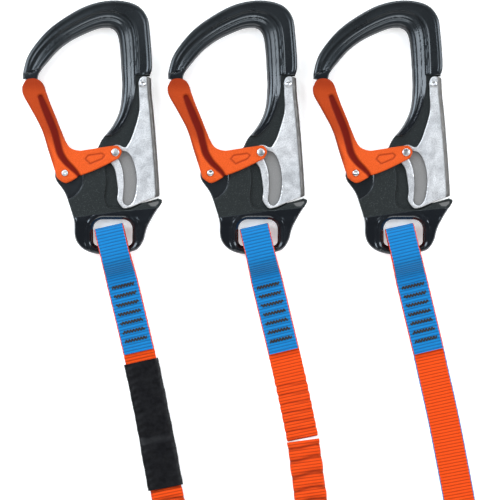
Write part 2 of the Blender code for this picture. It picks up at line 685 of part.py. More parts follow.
def sleeve_width():
    return max(WEBBING_WIDTH, ELASTIC_WIDTH) + 2 * GAP + 2 * SLEEVE_WALL


def sleeve_piece():
    """A flat shrunk tube round the joint, thicker where three straps lie on one another."""
    line = MiddleLine(HARNESS_RUN)
    step_at = SLEEVE_START + SLEEVE_STEP * SLEEVE_LENGTH
    end = SLEEVE_START + SLEEVE_LENGTH
    tall = WEBBING_THICKNESS + ELASTIC_THICKNESS + 3 * GAP + 2 * SLEEVE_WALL
    short = tall - SLEEVE_STEP_HEIGHT
    stops = [(SLEEVE_START, short), (SLEEVE_START + 12, short), (step_at - 3, short),
             (step_at + 3, tall), (end - 10, tall), (end, tall)]
    width = sleeve_width()
    return hollow([strap_section(line, s, h / 2, 0.0, width, h) for s, h in stops], SLEEVE_WALL)


# ---------------------------------------------------------------- assembly

def origin_offset():
    """The middle of the tether's hooks and sleeve, from the harness hook's eye bar."""
    body = scaled(outline(BODY_RUNS))
    left = min(x for x, _ in body)
    right = max(x for x, _ in body) + 2 * HOOK_SPACING
    top = max(y for _, y in body)
    line = MiddleLine(HARNESS_RUN)
    end = SLEEVE_START + SLEEVE_LENGTH
    bottom = min(q[1] for q in strap_section(line, end, 0, 0, sleeve_width(), 0))
    return Vector(((left + right) / 2, (top + bottom) / 2, 0))


def hooks(root, origin):
    """Three identical hooks, each piece its own object on a shared mesh."""
    under_gate = PLATE_HALF + GAP + GATE_SHEET + GAP
    under_lever = WEB_HALF + GAP + LEVER_SHEET + GAP
    gate, lever, link = (scaled([p])[0] for p in (GATE_PIVOT, LEVER_PIVOT, LINK_PIN))
    pieces = [
        ("hook_body", hook_body(), (0, 0), "forged"),
        ("gate", gate_piece(), gate, "gate"),
        ("lever", lever_piece(), lever, "lever"),
        ("gate_rivet", rivet(GATE_PIVOT, under_gate, RIVET_HEAD_R, RIVET_REACH), gate, "rivet"),
        ("link_pin", rivet(LINK_PIN, under_gate, LINK_HEAD_R, RIVET_REACH, LINK_PIN_R), link,
         "rivet"),
        ("lever_rivet", rivet(LEVER_PIVOT, under_lever, LEVER_HEAD_R,
                               under_lever + LEVER_HEAD_HEIGHT), lever,
         "rivet"),
        ("gate_spring", coil_spring(gate, GATE_COIL_R, (-5.0 * SCALE, 16.0 * SCALE), 1), gate,
         "spring"),
        ("lever_spring", coil_spring(lever, lever_coil_radius(), lever_tail(), -1), lever,
         "spring"),
    ]
    for number, station in enumerate(STATIONS):
        place = Vector((number * HOOK_SPACING, 0, RIVET_REACH)) - origin
        for name, mesh, pivot, finish in pieces:
            mesh_object(f"{station}_{name}", mesh, (*pivot, 0), finish, root, place)


def webbing(root, origin):
    """Sewn strap ends, the junction sleeve and the two legs."""
    ends = [("harness_strap", HARNESS_RUN, SLEEVE_START + SLEEVE_OVERLAP, SLEEVE_WALL + GAP),
            ("elastic_strap", ELASTIC_RUN, SEAM_AT, 0.0),
            ("static_strap", STATIC_RUN, STATIC_JOINT_AT, 0.0)]
    for number, (name, run, lower_end, lift) in enumerate(ends):
        place = Vector((number * HOOK_SPACING, 0, 0)) - origin
        mesh_object(name, sewn_end(run, lower_end, lift), (0, 0, 0), "blue_webbing", root, place)
    mesh_object("junction_sleeve", sleeve_piece(), (0, 0, 0), "sleeve", root, -origin)
    flat = leg_rings(STATIC_ROUTE, WEBBING_WIDTH, WEBBING_THICKNESS, WEBBING_WIDTH,
                     WEBBING_THICKNESS)
    mesh_object("static_leg", tube(flat), (0, 0, 0), "orange_webbing", root, -origin)
    tubular = leg_rings(ELASTIC_ROUTE, ELASTIC_WIDTH, ELASTIC_THICKNESS, ELASTIC_WIDTH,
                        ELASTIC_THICKNESS)
    mesh_object("elastic_leg", hollow(tubular, ELASTIC_WALL), (0, 0, 0), "orange_webbing", root,
                -origin)
    core = leg_rings(ELASTIC_ROUTE, CORE_WIDTH, CORE_THICKNESS, ELASTIC_WIDTH, ELASTIC_THICKNESS)
    mesh_object("elastic_core", tube(core), (0, 0, 0), "rubber", root, -origin)


def main():
    for o in list(bpy.data.objects):
        bpy.data.objects.remove(o)
    root = bpy.data.objects.new("tether", None)
    bpy.context.collection.objects.link(root)
    origin = origin_offset()
    hooks(root, origin)
    webbing(root, origin)


main()
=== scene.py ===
"""Look of a three-hook safety tether: forged hooks with orange gates, sewn webbing, two legs.

Shapes are worked out in millimetres about each hook's gate pivot and set into the meshes in
metres. Heights over a hook count from its middle plane.
"""

import json
import math

import bpy
import numpy as np
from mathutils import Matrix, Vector
from bpy.props import FloatProperty, FloatVectorProperty, IntProperty, PointerProperty


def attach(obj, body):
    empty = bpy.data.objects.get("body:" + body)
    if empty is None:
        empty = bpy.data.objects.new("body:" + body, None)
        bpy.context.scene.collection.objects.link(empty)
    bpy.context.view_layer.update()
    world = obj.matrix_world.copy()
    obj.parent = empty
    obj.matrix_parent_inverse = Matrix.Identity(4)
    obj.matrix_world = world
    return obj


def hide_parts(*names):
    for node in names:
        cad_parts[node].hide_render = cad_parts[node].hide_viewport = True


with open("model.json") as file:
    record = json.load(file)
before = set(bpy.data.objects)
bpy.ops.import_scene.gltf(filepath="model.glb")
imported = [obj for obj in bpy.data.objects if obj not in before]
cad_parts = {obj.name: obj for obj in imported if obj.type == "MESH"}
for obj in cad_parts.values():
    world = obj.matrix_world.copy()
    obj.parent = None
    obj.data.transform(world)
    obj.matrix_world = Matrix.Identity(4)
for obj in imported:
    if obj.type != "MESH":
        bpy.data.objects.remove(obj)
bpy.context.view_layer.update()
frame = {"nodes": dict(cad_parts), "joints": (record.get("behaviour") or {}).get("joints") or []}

bl_info = {
    "name": "Safety tether",
    "version": (1, 0, 0),
    "blender": (4, 5, 0),
    "location": "3D View > Sidebar > Tether",
    "description": "Builds the surfaces and finishes of a three-hook safety tether",
    "category": "Object",
}

MM = 0.001
STATIONS = ("harness", "elastic", "static")
GRID = 0.45  # between the points of a hook's surfaces

# Heights over the middle plane, and clearances, as on the solid hooks
BOW_HIGH = 5.25
FLANGE_HIGH = 4.75
PLATE_HIGH = 4.55
POCKET_HIGH = 2.15
BAR_HIGH = 3.5
GATE_LOW, GATE_HIGH = 4.9, 6.9
LEVER_LOW, LEVER_HIGH = 2.5, 4.3
RIVET_HIGH = 7.9

# Lamps: name, place and size in metres, watts and colour
SOFTBOXES = [
    ("left softbox", (-0.85, 0.35, 0.75), (0.5, 1.3), 15, (0.86, 0.93, 1.0)),
    ("right softbox", (0.95, 0.25, 0.7), (0.4, 1.2), 12, (0.90, 0.95, 1.0)),
    ("top softbox", (0.0, 1.15, 0.7), (1.5, 0.35), 12, (0.93, 0.97, 1.0)),
    ("low softbox", (0.1, -1.1, 0.9), (1.5, 0.4), 9, (1.0, 0.98, 0.95)),
]

# Points of one hook about its gate pivot
BAR = (33.9, -52.2)
GATE_PIVOT = (0.0, 0.0)
LINK_PIN = (34.4, 14.1)
LEVER_PIVOT = (53.1, 60.9)
INNER_RUNS = [
    [(22.7, 17.8), (25.4, 23.3), (32.6, 32.8), (37.3, 43.4), (38.8, 57.9), (38.3, 72.0),
     (37.6, 83.7), (36.3, 92.7), (33.8, 97.4), (30.0, 99.3)],
    [(30.0, 99.3), (25.0, 99.1), (18.7, 97.3), (5.7, 91.3), (-4.8, 83.7), (-13.5, 73.9),
     (-17.9, 68.0), (-18.7, 64.3)],
]
BODY_RUNS = [
    [(-28.9, 64.3), (-28.5, 69.7), (-24.4, 81.9), (-12.1, 97.3), (3.9, 108.8), (18.7, 115.7),
     (34.4, 118.0), (48.4, 115.0), (56.0, 106.7), (58.1, 94.1), (59.4, 73.2), (57.8, 66.2)],
    [(55.9, 66.0), (55.7, 64.2)],
    [(54.7, 63.5), (53.1, 64.0), (51.5, 63.5), (50.4, 62.4), (50.0, 60.9), (50.4, 59.4),
     (51.5, 58.3), (53.1, 57.8)],
    [(54.3, 57.2), (54.3, 38.5)],
    [(55.5, 37.6), (54.5, 20.0), (52.6, -4.0), (52.0, -17.0)],
    [(52.2, -20.4), (58.0, -18.9), (63.5, -17.2)],
    [(65.6, -18.0), (66.0, -20.0), (60.3, -28.9), (55.8, -37.7), (53.6, -45.6), (50.1, -51.2),
     (46.2, -53.4), (34.6, -55.7), (23.2, -55.5), (14.0, -52.8), (8.8, -48.3), (6.5, -42.5),
     (6.2, -33.4), (4.2, -25.4), (-0.1, -13.5), (-5.6, -5.7), (-7.0, -2.0)],
    [(-7.0, -2.0), (-6.4, 2.2), (-3.4, 5.5), (1.0, 6.9), (8.0, 8.6), (15.0, 11.6), (22.7, 17.8)],
    *INNER_RUNS,
    [(-18.9, 63.9), (-19.6, 57.5), (-22.6, 54.4), (-25.6, 57.5), (-26.6, 63.9)],
]
# Foot of the step between the bow's flat flange and its inner bar
STEP_RUN = [(-23.8, 63.5), (-22.9, 70.5), (-18.6, 79.4), (-12.5, 87.0), (-4.6, 94.0),
            (4.8, 100.3), (14.8, 105.5), (24.5, 109.0), (32.8, 109.4), (40.0, 106.8),
            (44.9, 101.5), (46.9, 95.0), (47.8, 84.0), (48.3, 70.0), (48.3, 58.0), (47.9, 51.2),
            (45.9, 44.1), (43.5, 38.2), (40.4, 32.8), (35.7, 27.2), (30.6, 23.7), (25.6, 20.6),
            (22.7, 17.8)]
NOSE_RECESS = [(-34.0, 63.4), (-27.5, 66.4), (-17.7, 70.9), (-14.0, 70.0), (-14.0, 50.0),
               (-34.0, 50.0)]
PLATE_ZONE = [(-14.0, 14.0), (20.0, 19.6), (75.0, 19.6), (75.0, -22.5), (59.0, -24.1),
              (40.0, -25.9), (20.0, -28.5), (-6.0, -32.0), (-14.0, -20.0)]
POCKET_RUNS = [
    [(27.5, 25.5), (31.5, 25.0), (35.9, 28.0), (40.6, 33.6), (43.6, 39.4), (45.8, 45.2),
     (47.6, 52.0), (48.4, 60.0), (48.5, 66.6)],
    [(75.0, 66.6), (75.0, -14.0)],
    [(66.5, -15.6), (54.8, -20.0), (45.6, -24.3), (42.0, -25.0), (36.0, -24.6), (31.5, -23.9),
     (28.6, -22.4), (27.2, -18.5), (27.1, -15.0), (27.8, -11.0), (28.2, -5.7), (27.8, 0.1),
     (26.6, 4.6), (24.8, 8.6), (22.4, 12.5)],
    [(20.5, 18.0), (24.0, 25.0)],
]
EAR_CENTRE, EAR_RADIUS = (-3.0, -3.0), 16.0  # round the gate pivot, a little lower
TIP_DISH = [(56.0, -20.6), (61.0, -19.3), (64.2, -18.9), (64.3, -20.6), (61.8, -23.0),
            (58.5, -22.9)]
EYE_CENTRE, EYE_WIDTH, EYE_HEIGHT = (32.5, -40.7), 26.7, 18.0
EYE_RADII = (6.5, 3.6)  # of its upper and lower corners
GATE_RUNS = [
    [(-29.1, 59.0), (-26.6, 63.4), (-22.0, 64.6), (-17.5, 63.5), (-14.7, 60.1), (-13.0, 55.0),
     (-10.0, 46.8), (-6.8, 39.1), (-2.8, 28.9), (0.6, 21.0), (4.0, 17.0), (9.7, 15.3),
     (16.0, 16.1), (32.9, 18.6), (36.4, 18.3), (38.7, 14.6), (36.8, 10.0)],
    [(36.8, 10.0), (29.8, 6.4), (19.9, 1.7), (11.0, -1.6), (9.8, -1.5), (8.6, -2.9),
     (3.1, -6.1), (-0.5, -6.7), (-5.2, -3.4), (-6.4, 0.1), (-11.1, 14.7), (-15.8, 29.6),
     (-23.2, 43.7), (-27.7, 51.6), (-29.1, 55.5), (-29.1, 59.0)],
]
GATE_OUTER_RUN = [(-29.1, 59.0), (-27.7, 51.6), (-23.2, 43.7), (-15.8, 29.6), (-11.1, 14.7),
                  (-6.4, 0.1), (-5.2, -3.4), (-0.5, -6.7), (3.1, -6.1)]
# Middle line and half width of the gate's hollow: (x, y, half width)
GATE_HOLLOW = [(-16.6, 51.6, 2.6), (-14.2, 45.6, 3.1), (-10.8, 37.4, 3.3), (-7.2, 28.4, 3.3),
               (-5.0, 20.0, 3.1), (-3.0, 13.2, 3.0), (0.6, 7.6, 2.7), (5.0, 3.2, 2.4),
               (8.3, -0.2, 2.0), (10.2, -3.6, 1.6)]
GATE_WINDOW = [(13.9, 9.6), (16.0, 12.0), (25.2, 13.3), (27.0, 11.9), (25.4, 9.6), (17.2, 6.2)]
GATE_WALL_RUN = [(-16.0, 61.0), (-14.9, 59.2), (-13.4, 54.8), (-10.4, 46.6), (-7.2, 38.9),
                 (-3.2, 28.7), (0.2, 21.8)]
LEVER_BACK_RUN = [(58.6, 64.6), (59.2, 53.1), (60.4, 42.0), (62.6, 15.9), (64.4, -11.6),
                  (64.2, -15.7)]
LEVER_RUNS = [
    [(50.2, 61.8), (51.2, 64.6), (53.4, 66.0), (57.6, 65.4)],
    LEVER_BACK_RUN,
    [(64.2, -15.7), (54.8, -19.1), (45.3, -23.2)],
    [(42.2, -24.0), (39.5, -23.8), (35.7, -18.4), (36.1, -11.0), (34.1, 2.1), (31.0, 7.4),
     (29.6, 13.0), (31.8, 18.0), (36.0, 19.2), (40.0, 17.6)],
    [(41.9, 17.8), (45.5, 24.5), (49.8, 38.2), (50.8, 46.1), (50.2, 61.8)],
]
SLOT_RUNS = [
    [(35.6, 15.3), (37.4, 16.0), (39.6, 15.0), (42.6, 14.2), (45.6, 10.2), (47.9, 3.6),
     (48.9, -3.5), (48.6, -10.5), (47.3, -17.2), (45.2, -21.0), (42.6, -22.2), (40.0, -20.6),
     (39.4, -17.6), (40.0, -8.0), (39.4, 1.0), (37.0, 8.5), (34.2, 12.6), (35.6, 15.3)],
]

# Straps: middle lines from each eye bar, and their profile in side view
STRAP_START = [(29.4, -35.0), (33.4, -52.2), (50.3, -122.6)]
STRAP_RUNS = {
    "harness": STRAP_START + [(60.2, -170.0), (68.8, -216.0), (76.0, -250.0)],
    "elastic": STRAP_START + [(57.0, -152.0), (63.3, -182.4)],
    "static": STRAP_START + [(53.0, -135.0), (61.0, -172.0)],
}
STRAP_ENDS = {"harness": (132.6, 1.1), "elastic": (132.8, 0.0), "static": (69.0, 0.0)}
WEBBING_THICK = 1.9
CREASE_FULL = 1.2  # depth at which a crease of the cloth is in full shadow
LAYER_GAP = 0.3
FOLD_WIDTH = 20.2
LOOP_HALF = 5.2
LOOP_REACH = 16.6
TACKS_START = 22.0
FLAP_END = 72.0
LOOP_FLAT = 7.0  # both layers run level this far from the bar
TACK_START, TACK_THREAD, TACK_LIFT = 25.4, 0.56, 0.12  # first row, thread radius, over the cloth
SLEEVE_LOW, SLEEVE_RISE, SLEEVE_STEP = 7.2, 1.3, 0.62  # height, added past the step, its share
SLEEVE_START, SLEEVE_LENGTH, SLEEVE_WALL = 78.6, 88.0, 0.8
SLEEVE_WIDE = 24.3
ELASTIC_WIDE, ELASTIC_THICK = 22.1, 4.2

# Legs: (station, x, y, lift, roll in degrees); the station is the hook that x counts from
ELASTIC_ROUTE = [
    (0, 63.3, -187.0, 3.3, 0), (0, 68.7, -215.3, 3.3, 0), (0, 74.0, -240.0, 2.8, 0),
    (0, 81.0, -270.0, 2.4, 4),
    (0, 88.0, -300.0, 1.6, 16), (0, 93.0, -335.0, 0.6, 45), (0, 96.0, -375.0, 0.0, 72),
    (0, 97.5, -420.0, 0.0, 88), (0, 98.0, -465.0, 0.0, 90), (0, 103.0, -505.0, 0.0, 90),
    (0, 121.0, -532.0, 0.0, 90), (1, 46.0, -542.0, 0.0, 90), (1, 70.0, -532.0, 0.0, 90),
    (1, 88.0, -505.0, 0.0, 90), (1, 93.0, -465.0, 0.0, 90), (1, 92.5, -420.0, 0.0, 88),
    (1, 90.0, -375.0, 0.0, 72), (1, 85.5, -335.0, 0.0, 45), (1, 80.0, -300.0, 0.0, 18),
    (1, 75.0, -265.0, 0.0, 5), (1, 69.0, -225.0, 0.0, 0), (1, 63.4, -182.9, 0.0, 0),
]
STATIC_ROUTE = [
    (0, 63.3, -187.0, 1.1, 0), (0, 68.5, -214.5, 1.1, 0), (0, 70.6, -236.0, 0.2, 0),
    (0, 67.0, -262.0, 0.0, 0),
    (0, 59.0, -300.0, 0.0, -14), (0, 52.0, -345.0, 0.0, -50), (0, 47.5, -395.0, 0.0, -82),
    (0, 46.5, -445.0, 0.0, -90), (0, 54.0, -500.0, 0.0, -90), (0, 79.0, -550.0, 0.0, -90),
    (0, 120.0, -581.0, 0.0, -90), (2, -31.0, -590.0, 0.0, -90), (2, 20.0, -581.0, 0.0, -90),
    (2, 61.0, -550.0, 0.0, -90), (2, 85.0, -500.0, 0.0, -90), (2, 92.5, -445.0, 0.0, -90),
    (2, 92.5, -395.0, 0.0, -82), (2, 90.0, -345.0, 0.0, -50), (2, 84.5, -300.0, 0.0, -14),
    (2, 78.0, -262.0, 0.0, 0), (2, 71.0, -223.0, 0.0, 0), (2, 61.2, -172.0, 0.0, 0),
    (2, 53.0, -135.0, 0.0, 0), (2, 49.8, -120.3, 0.0, 0),
]


# ---------------------------------------------------------------- places

def joint_place(name):
    """A joint's point in millimetres."""
    found = [j for j in frame["joints"] if j["name"] == name]
    return np.array(found[0]["pos_m"]) / MM


def station_place(station):
    """A hook's gate pivot in millimetres, at the middle plane."""
    return joint_place(f"{station}_gate_hinge")


# ---------------------------------------------------------------- curves

def spline(points, step):
    """Catmull-Rom curve: between two points a cubic whose end slopes are half the chords
    between their neighbours, sampled about step apart."""
    p = np.asarray(points, float)
    if len(p) < 3:
        return p
    p = np.vstack([2 * p[0] - p[1], p, 2 * p[-1] - p[-2]])
    pieces = []
    for a, b, c, d in zip(p[:-3], p[1:-2], p[2:-1], p[3:]):
        count = max(1, round(np.linalg.norm((c - b)[:2]) / step))
        t = (np.arange(count) / count)[:, None]
        pieces.append(0.5 * (2 * b + (c - a) * t + (2 * a - 5 * b + 4 * c - d) * t ** 2
                             + (3 * b - a - 3 * c + d) * t ** 3))
    return np.vstack(pieces + [p[-2:-1]])


def outline(runs, step=1.3):
    """Smooth runs joined into one loop, without its repeated points."""
    p = np.vstack([spline(run, step) for run in runs])
    keep = np.linalg.norm(p - np.roll(p, 1, axis=0), axis=1) > 0.02
    return p[keep]


def rounded_box(centre, width, height, radii, count=10):
    """A rectangle whose upper and lower corners are quarter circles of the two radii."""
    loop = []
    for quarter, (sx, sy) in enumerate(((1, 1), (-1, 1), (-1, -1), (1, -1))):
        r = radii[0] if sy > 0 else radii[1]
        a = np.radians(90 * quarter) + np.linspace(0, math.pi / 2, count)
        mid = np.array([sx * (width / 2 - r), sy * (height / 2 - r)]) + centre
        loop.append(mid + r * np.stack([np.cos(a), np.sin(a)], axis=1))
    return np.vstack(loop)


def ring(centre, radius, count=40):
    """Points of a circle, anticlockwise."""
    a = np.arange(count) * math.tau / count
    return np.array(centre) + radius * np.stack([np.cos(a), np.sin(a)], axis=1)


def nearest(points, line, closed=False):
    """For each point the distance to a line, its foot on it, and the foot's place counted in
    segments: the point is dropped on every segment and the shortest drop is kept."""
    a = np.asarray(line, float)
    b = np.roll(a, -1, axis=0) if closed else a[1:]
    a = a if closed else a[:-1]
    span = b - a
    square = np.maximum((span ** 2).sum(1), 1e-12)
    distance, foot, place = [], [], []
    for part in np.array_split(points, max(1, len(points) * len(a) // 1500000)):
        rel = part[:, None, :] - a
        t = np.clip((rel * span).sum(2) / square, 0, 1)
        gap = rel - t[..., None] * span
        square_gap = (gap ** 2).sum(2)
        best = square_gap.argmin(1)
        row = np.arange(len(part))
        distance.append(np.sqrt(square_gap[row, best]))
        foot.append(part - gap[row, best])
        place.append(best + t[row, best])
    return np.concatenate(distance), np.concatenate(foot), np.concatenate(place)


def inside(points, loop):
    """Even-odd test: a point is inside when a line to its right crosses the loop oddly often."""
    a, b = np.asarray(loop, float), np.roll(loop, -1, axis=0)
    result = []
    for part in np.array_split(points, max(1, len(points) * len(a) // 2000000)):
        x, y = part[:, :1], part[:, 1:]
        spans = (a[:, 1] > y) != (b[:, 1] > y)
        rise = np.where(b[:, 1] == a[:, 1], 1.0, b[:, 1] - a[:, 1])
        at = a[:, 0] + (y - a[:, 1]) / rise * (b[:, 0] - a[:, 0])
        result.append((spans & (x < at)).sum(1) % 2 == 1)
    return np.concatenate(result)


def depth_in(points, loop):
    """Distance to a loop, positive inside it."""
    distance = nearest(points, loop, closed=True)[0]
    return np.where(inside(points, loop), distance, -distance)


def ramp(x, low, high):
    """0 below low, 1 above high, with a smooth S between them."""
    t = np.clip((x - low) / (high - low), 0, 1)
    return t * t * (3 - 2 * t)


def zone(points, loop, soft):
    """1 inside a loop and 0 outside it, with a smooth slope of that width across its line."""
    return ramp(depth_in(points, np.asarray(loop, float)), -soft / 2, soft / 2)


def rounding(depth, radius):
    """How far a quarter circle of that radius lies below the face, near an edge."""
    left = np.clip(radius - depth, 0, radius)
    return radius - np.sqrt(np.maximum(radius ** 2 - left ** 2, 0))


# ---------------------------------------------------------------- meshes

def make_object(name, points, faces, finish, uv=None, values=None, sharp=38.0):
    """An object whose mesh holds the points (millimetres) and the faces, given as arrays of
    three or four corners. uv is one pair for each point and values are named numbers for each."""
    loops = np.concatenate([f.ravel() for f in faces])
    used, loops = np.unique(loops, return_inverse=True)
    points = points[used]
    sizes = np.concatenate([np.full(len(f), f.shape[1]) for f in faces])
    mesh = bpy.data.meshes.new(name)
    mesh.vertices.add(len(points))
    mesh.vertices.foreach_set("co", (points * MM).astype(np.float32).ravel())
    mesh.loops.add(len(loops))
    mesh.loops.foreach_set("vertex_index", loops.ravel().astype(np.int32))
    mesh.polygons.add(len(sizes))
    mesh.polygons.foreach_set("loop_start", np.concatenate([[0], np.cumsum(sizes)[:-1]]))
    mesh.update(calc_edges=True)
    if uv is not None:
        layer = mesh.uv_layers.new(name="cloth")
        layer.data.foreach_set("uv", uv[used][loops.ravel()].astype(np.float32).ravel())
    for key, value in (values or {}).items():
        layer = mesh.attributes.new(key, "FLOAT", "POINT")
        layer.data.foreach_set("value", value[used].astype(np.float32))
    mesh.validate()
    mesh.shade_smooth()
    mesh.set_sharp_from_angle(angle=math.radians(sharp))
    mesh.materials.append(finish)
    made = bpy.data.objects.new(name, mesh)
    bpy.context.scene.collection.objects.link(made)
    return made


def outward(points, faces):
    """The faces, turned over if the volume that they enclose comes out negative."""
    volume = 0.0
    for f in faces:
        a = points[f[:, 0]]
        for k in range(1, f.shape[1] - 1):
            volume += np.einsum("ij,ij", a, np.cross(points[f[:, k]], points[f[:, k + 1]]))
    return faces if volume > 0 else [f[:, ::-1] for f in faces]


def relief(loops, top, bottom, step=GRID):
    """A plate inside the first loop and outside the others. Grid points within half a step of
    a loop are moved onto it, cells with three or four corners inside become faces, top(points,
    depth) and bottom(points, depth) give the heights, and walls join the two along the loops."""
    low, high = loops[0].min(0) - step, loops[0].max(0) + 2 * step
    xs, ys = np.arange(low[0], high[0], step), np.arange(low[1], high[1], step)
    points = np.stack(np.meshgrid(xs, ys, indexing="ij"), axis=-1).reshape(-1, 2)
    depth = np.full(len(points), np.inf)
    foot = np.zeros_like(points)
    for number, loop in enumerate(loops):
        distance, near, _ = nearest(points, loop, closed=True)
        signed = np.where(inside(points, loop) == (number == 0), distance, -distance)
        closer = np.abs(signed) < np.abs(depth)
        foot[closer] = near[closer]
        depth = np.minimum(depth, signed)
    on_edge = np.abs(depth) <= step / 2
    points[on_edge] = foot[on_edge]
    depth[on_edge] = 0
    index = np.arange(len(points)).reshape(len(xs), len(ys))
    corners = np.stack([index[:-1, :-1], index[1:, :-1], index[1:, 1:], index[:-1, 1:]],
                       axis=-1).reshape(-1, 4)
    kept = depth[corners] >= 0
    count = kept.sum(1)
    quads = corners[(count == 4) & ~on_edge[corners].all(1)]
    three = corners[count == 3]
    turn = (kept[count == 3].argmin(1)[:, None] + np.array([1, 2, 3])) % 4
    triangles = np.take_along_axis(three, turn, axis=1)
    triangles = triangles[~on_edge[triangles].all(1)]
    used = np.unique(np.concatenate([quads.ravel(), triangles.ravel()]))
    place = np.full(len(points), -1)
    place[used] = np.arange(len(used))
    quads, triangles = place[quads], place[triangles]
    points, depth = points[used], depth[used]
    n = len(used)
    pairs = [f[:, [k, (k + 1) % f.shape[1]]] for f in (quads, triangles) for k in range(f.shape[1])]
    pairs = np.concatenate(pairs)
    rim = pairs[~np.isin(pairs[:, 0] * n + pairs[:, 1], pairs[:, 1] * n + pairs[:, 0])]
    walls = np.stack([rim[:, 0], rim[:, 0] + n, rim[:, 1] + n, rim[:, 1]], axis=1)
    heights = np.concatenate([top(points, depth), bottom(points, depth)])
    solid = np.column_stack([np.vstack([points, points]), heights])
    return solid, [quads, triangles, quads[:, ::-1] + n, triangles[:, ::-1] + n, walls]


def join(shells):
    """Several shells, each (points, faces), as one."""
    points, faces, start = [], [], 0
    for p, f in shells:
        points.append(p)
        faces += [g + start for g in f if len(g)]
        start += len(p)
    return np.vstack(points), faces


def mirrored(shell):
    """The same shell on the other side of the middle plane."""
    points, faces = shell
    return points * (1, 1, -1), [f[:, ::-1] for f in faces]


def skin(rings, closed=False):
    """Quads between neighbouring rings, an array of (ring, point, xyz). Open ends get a fan
    about their middle; a closed skin joins its last ring to its first."""
    n, m = rings.shape[:2]
    index = np.arange(n * m).reshape(n, m)
    after = np.roll(index, -1, axis=0) if closed else index[1:]
    before = index if closed else index[:-1]
    quads = np.stack([before, np.roll(before, -1, axis=1), np.roll(after, -1, axis=1), after],
                     axis=-1).reshape(-1, 4)
    points = rings.reshape(-1, 3)
    faces = [quads]
    if not closed:
        points = np.vstack([points, rings[0].mean(0), rings[-1].mean(0)])
        first, last = index[0], index[-1]
        faces.append(np.stack([np.roll(first, -1), first, np.full(m, n * m)], axis=1))
        faces.append(np.stack([last, np.roll(last, -1), np.full(m, n * m + 1)], axis=1))
    return points, outward(points, faces)


def spun(profile, centre, count=40):
    """A (radius, height) profile turned about an upright line; both ends lie on the line."""
    profile = np.asarray(profile, float)
    a = np.arange(count) * math.tau / count
    around = np.stack([np.cos(a), np.sin(a), np.zeros(count)], axis=1)
    body = profile[1:-1]
    rings = body[:, 0, None, None] * around + body[:, 1, None, None] * np.array([0, 0, 1])
    rings = rings + np.array([*centre, 0.0])
    points, faces = skin(rings)
    points[-2] = (*centre, profile[0, 1])
    points[-1] = (*centre, profile[-1, 1])
    return points, outward(points, faces)


# ---------------------------------------------------------------- finishes

class Finish:
    """A material built node by node around one Principled shader."""

    def __init__(self, name, colour, roughness, **constants):
        self.material = bpy.data.materials.new(name)
        self.material.use_nodes = True
        self.material.diffuse_color = (*colour, 1)
        self.nodes = self.material.node_tree.nodes
        self.links = self.material.node_tree.links
        self.shader = self.nodes["Principled BSDF"]
        self.set(self.shader, Base_Color=(*colour, 1), Roughness=roughness, **constants)

    def feed(self, socket, value):
        """Link another node's output to a socket, or write a constant on it."""
        if isinstance(value, bpy.types.NodeSocket):
            self.links.new(value, socket)
        else:
            socket.default_value = value

    def set(self, node, **values):
        """Feed a node's inputs by their names."""
        for key, value in values.items():
            self.feed(node.inputs[key.replace("_", " ")], value)
        return node

    def place(self, kind="Object", stretch=None):
        """Object or UV coordinates, stretched along each axis where asked."""
        out = self.nodes.new("ShaderNodeTexCoord").outputs[kind]
        if stretch is None:
            return out
        mapping = self.set(self.nodes.new("ShaderNodeMapping"), Vector=out, Scale=stretch)
        return mapping.outputs["Vector"]

    def value(self, name):
        """A named number of the mesh."""
        node = self.nodes.new("ShaderNodeAttribute")
        node.attribute_name = name
        return node.outputs["Fac"]

    def noise(self, scale, detail=2.0, rough=0.5, where=None):
        """Cloudy numbers between 0 and 1."""
        node = self.nodes.new("ShaderNodeTexNoise")
        self.set(node, Vector=where or self.place(), Scale=scale, Detail=detail, Roughness=rough)
        return node.outputs["Fac"]

    def waves(self, scale, direction, where, distortion=0.0):
        """Even bands between 0 and 1."""
        node = self.nodes.new("ShaderNodeTexWave")
        node.bands_direction = direction
        self.set(node, Vector=where, Scale=scale, Distortion=distortion, Detail=1.0)
        return node.outputs["Fac"]

    def spread(self, source, low, high, to_low=0.0, to_high=1.0):
        """A number carried smoothly from one range to another."""
        node = self.nodes.new("ShaderNodeMapRange")
        node.interpolation_type = "SMOOTHSTEP"
        for socket, value in zip(node.inputs, (source, low, high, to_low, to_high)):
            self.feed(socket, value)
        return node.outputs["Result"]

    def maths(self, operation, a, b):
        """One sum on two numbers."""
        node = self.nodes.new("ShaderNodeMath")
        node.operation = operation
        for socket, value in zip(node.inputs, (a, b)):
            self.feed(socket, value)
        return node.outputs["Value"]

    def mix(self, factor, a, b, blend="MIX"):
        """Two colours mixed by a number."""
        node = self.nodes.new("ShaderNodeMix")
        node.data_type = "RGBA"
        node.blend_type = blend
        for socket, value in ((node.inputs[0], factor), (node.inputs[6], a), (node.inputs[7], b)):
            self.feed(socket, (*value, 1) if isinstance(value, tuple) else value)
        return node.outputs[2]

    def bump(self, height, strength, distance, after=None):
        """Small relief of that height in metres, laid over an earlier one."""
        node = self.nodes.new("ShaderNodeBump")
        self.set(node, Height=height, Strength=strength, Distance=distance)
        if after is not None:
            self.links.new(after, node.inputs["Normal"])
        return node.outputs["Normal"]

    def done(self, **links):
        """The finished material, with the given nodes on its shader."""
        self.set(self.shader, **links)
        return self.material


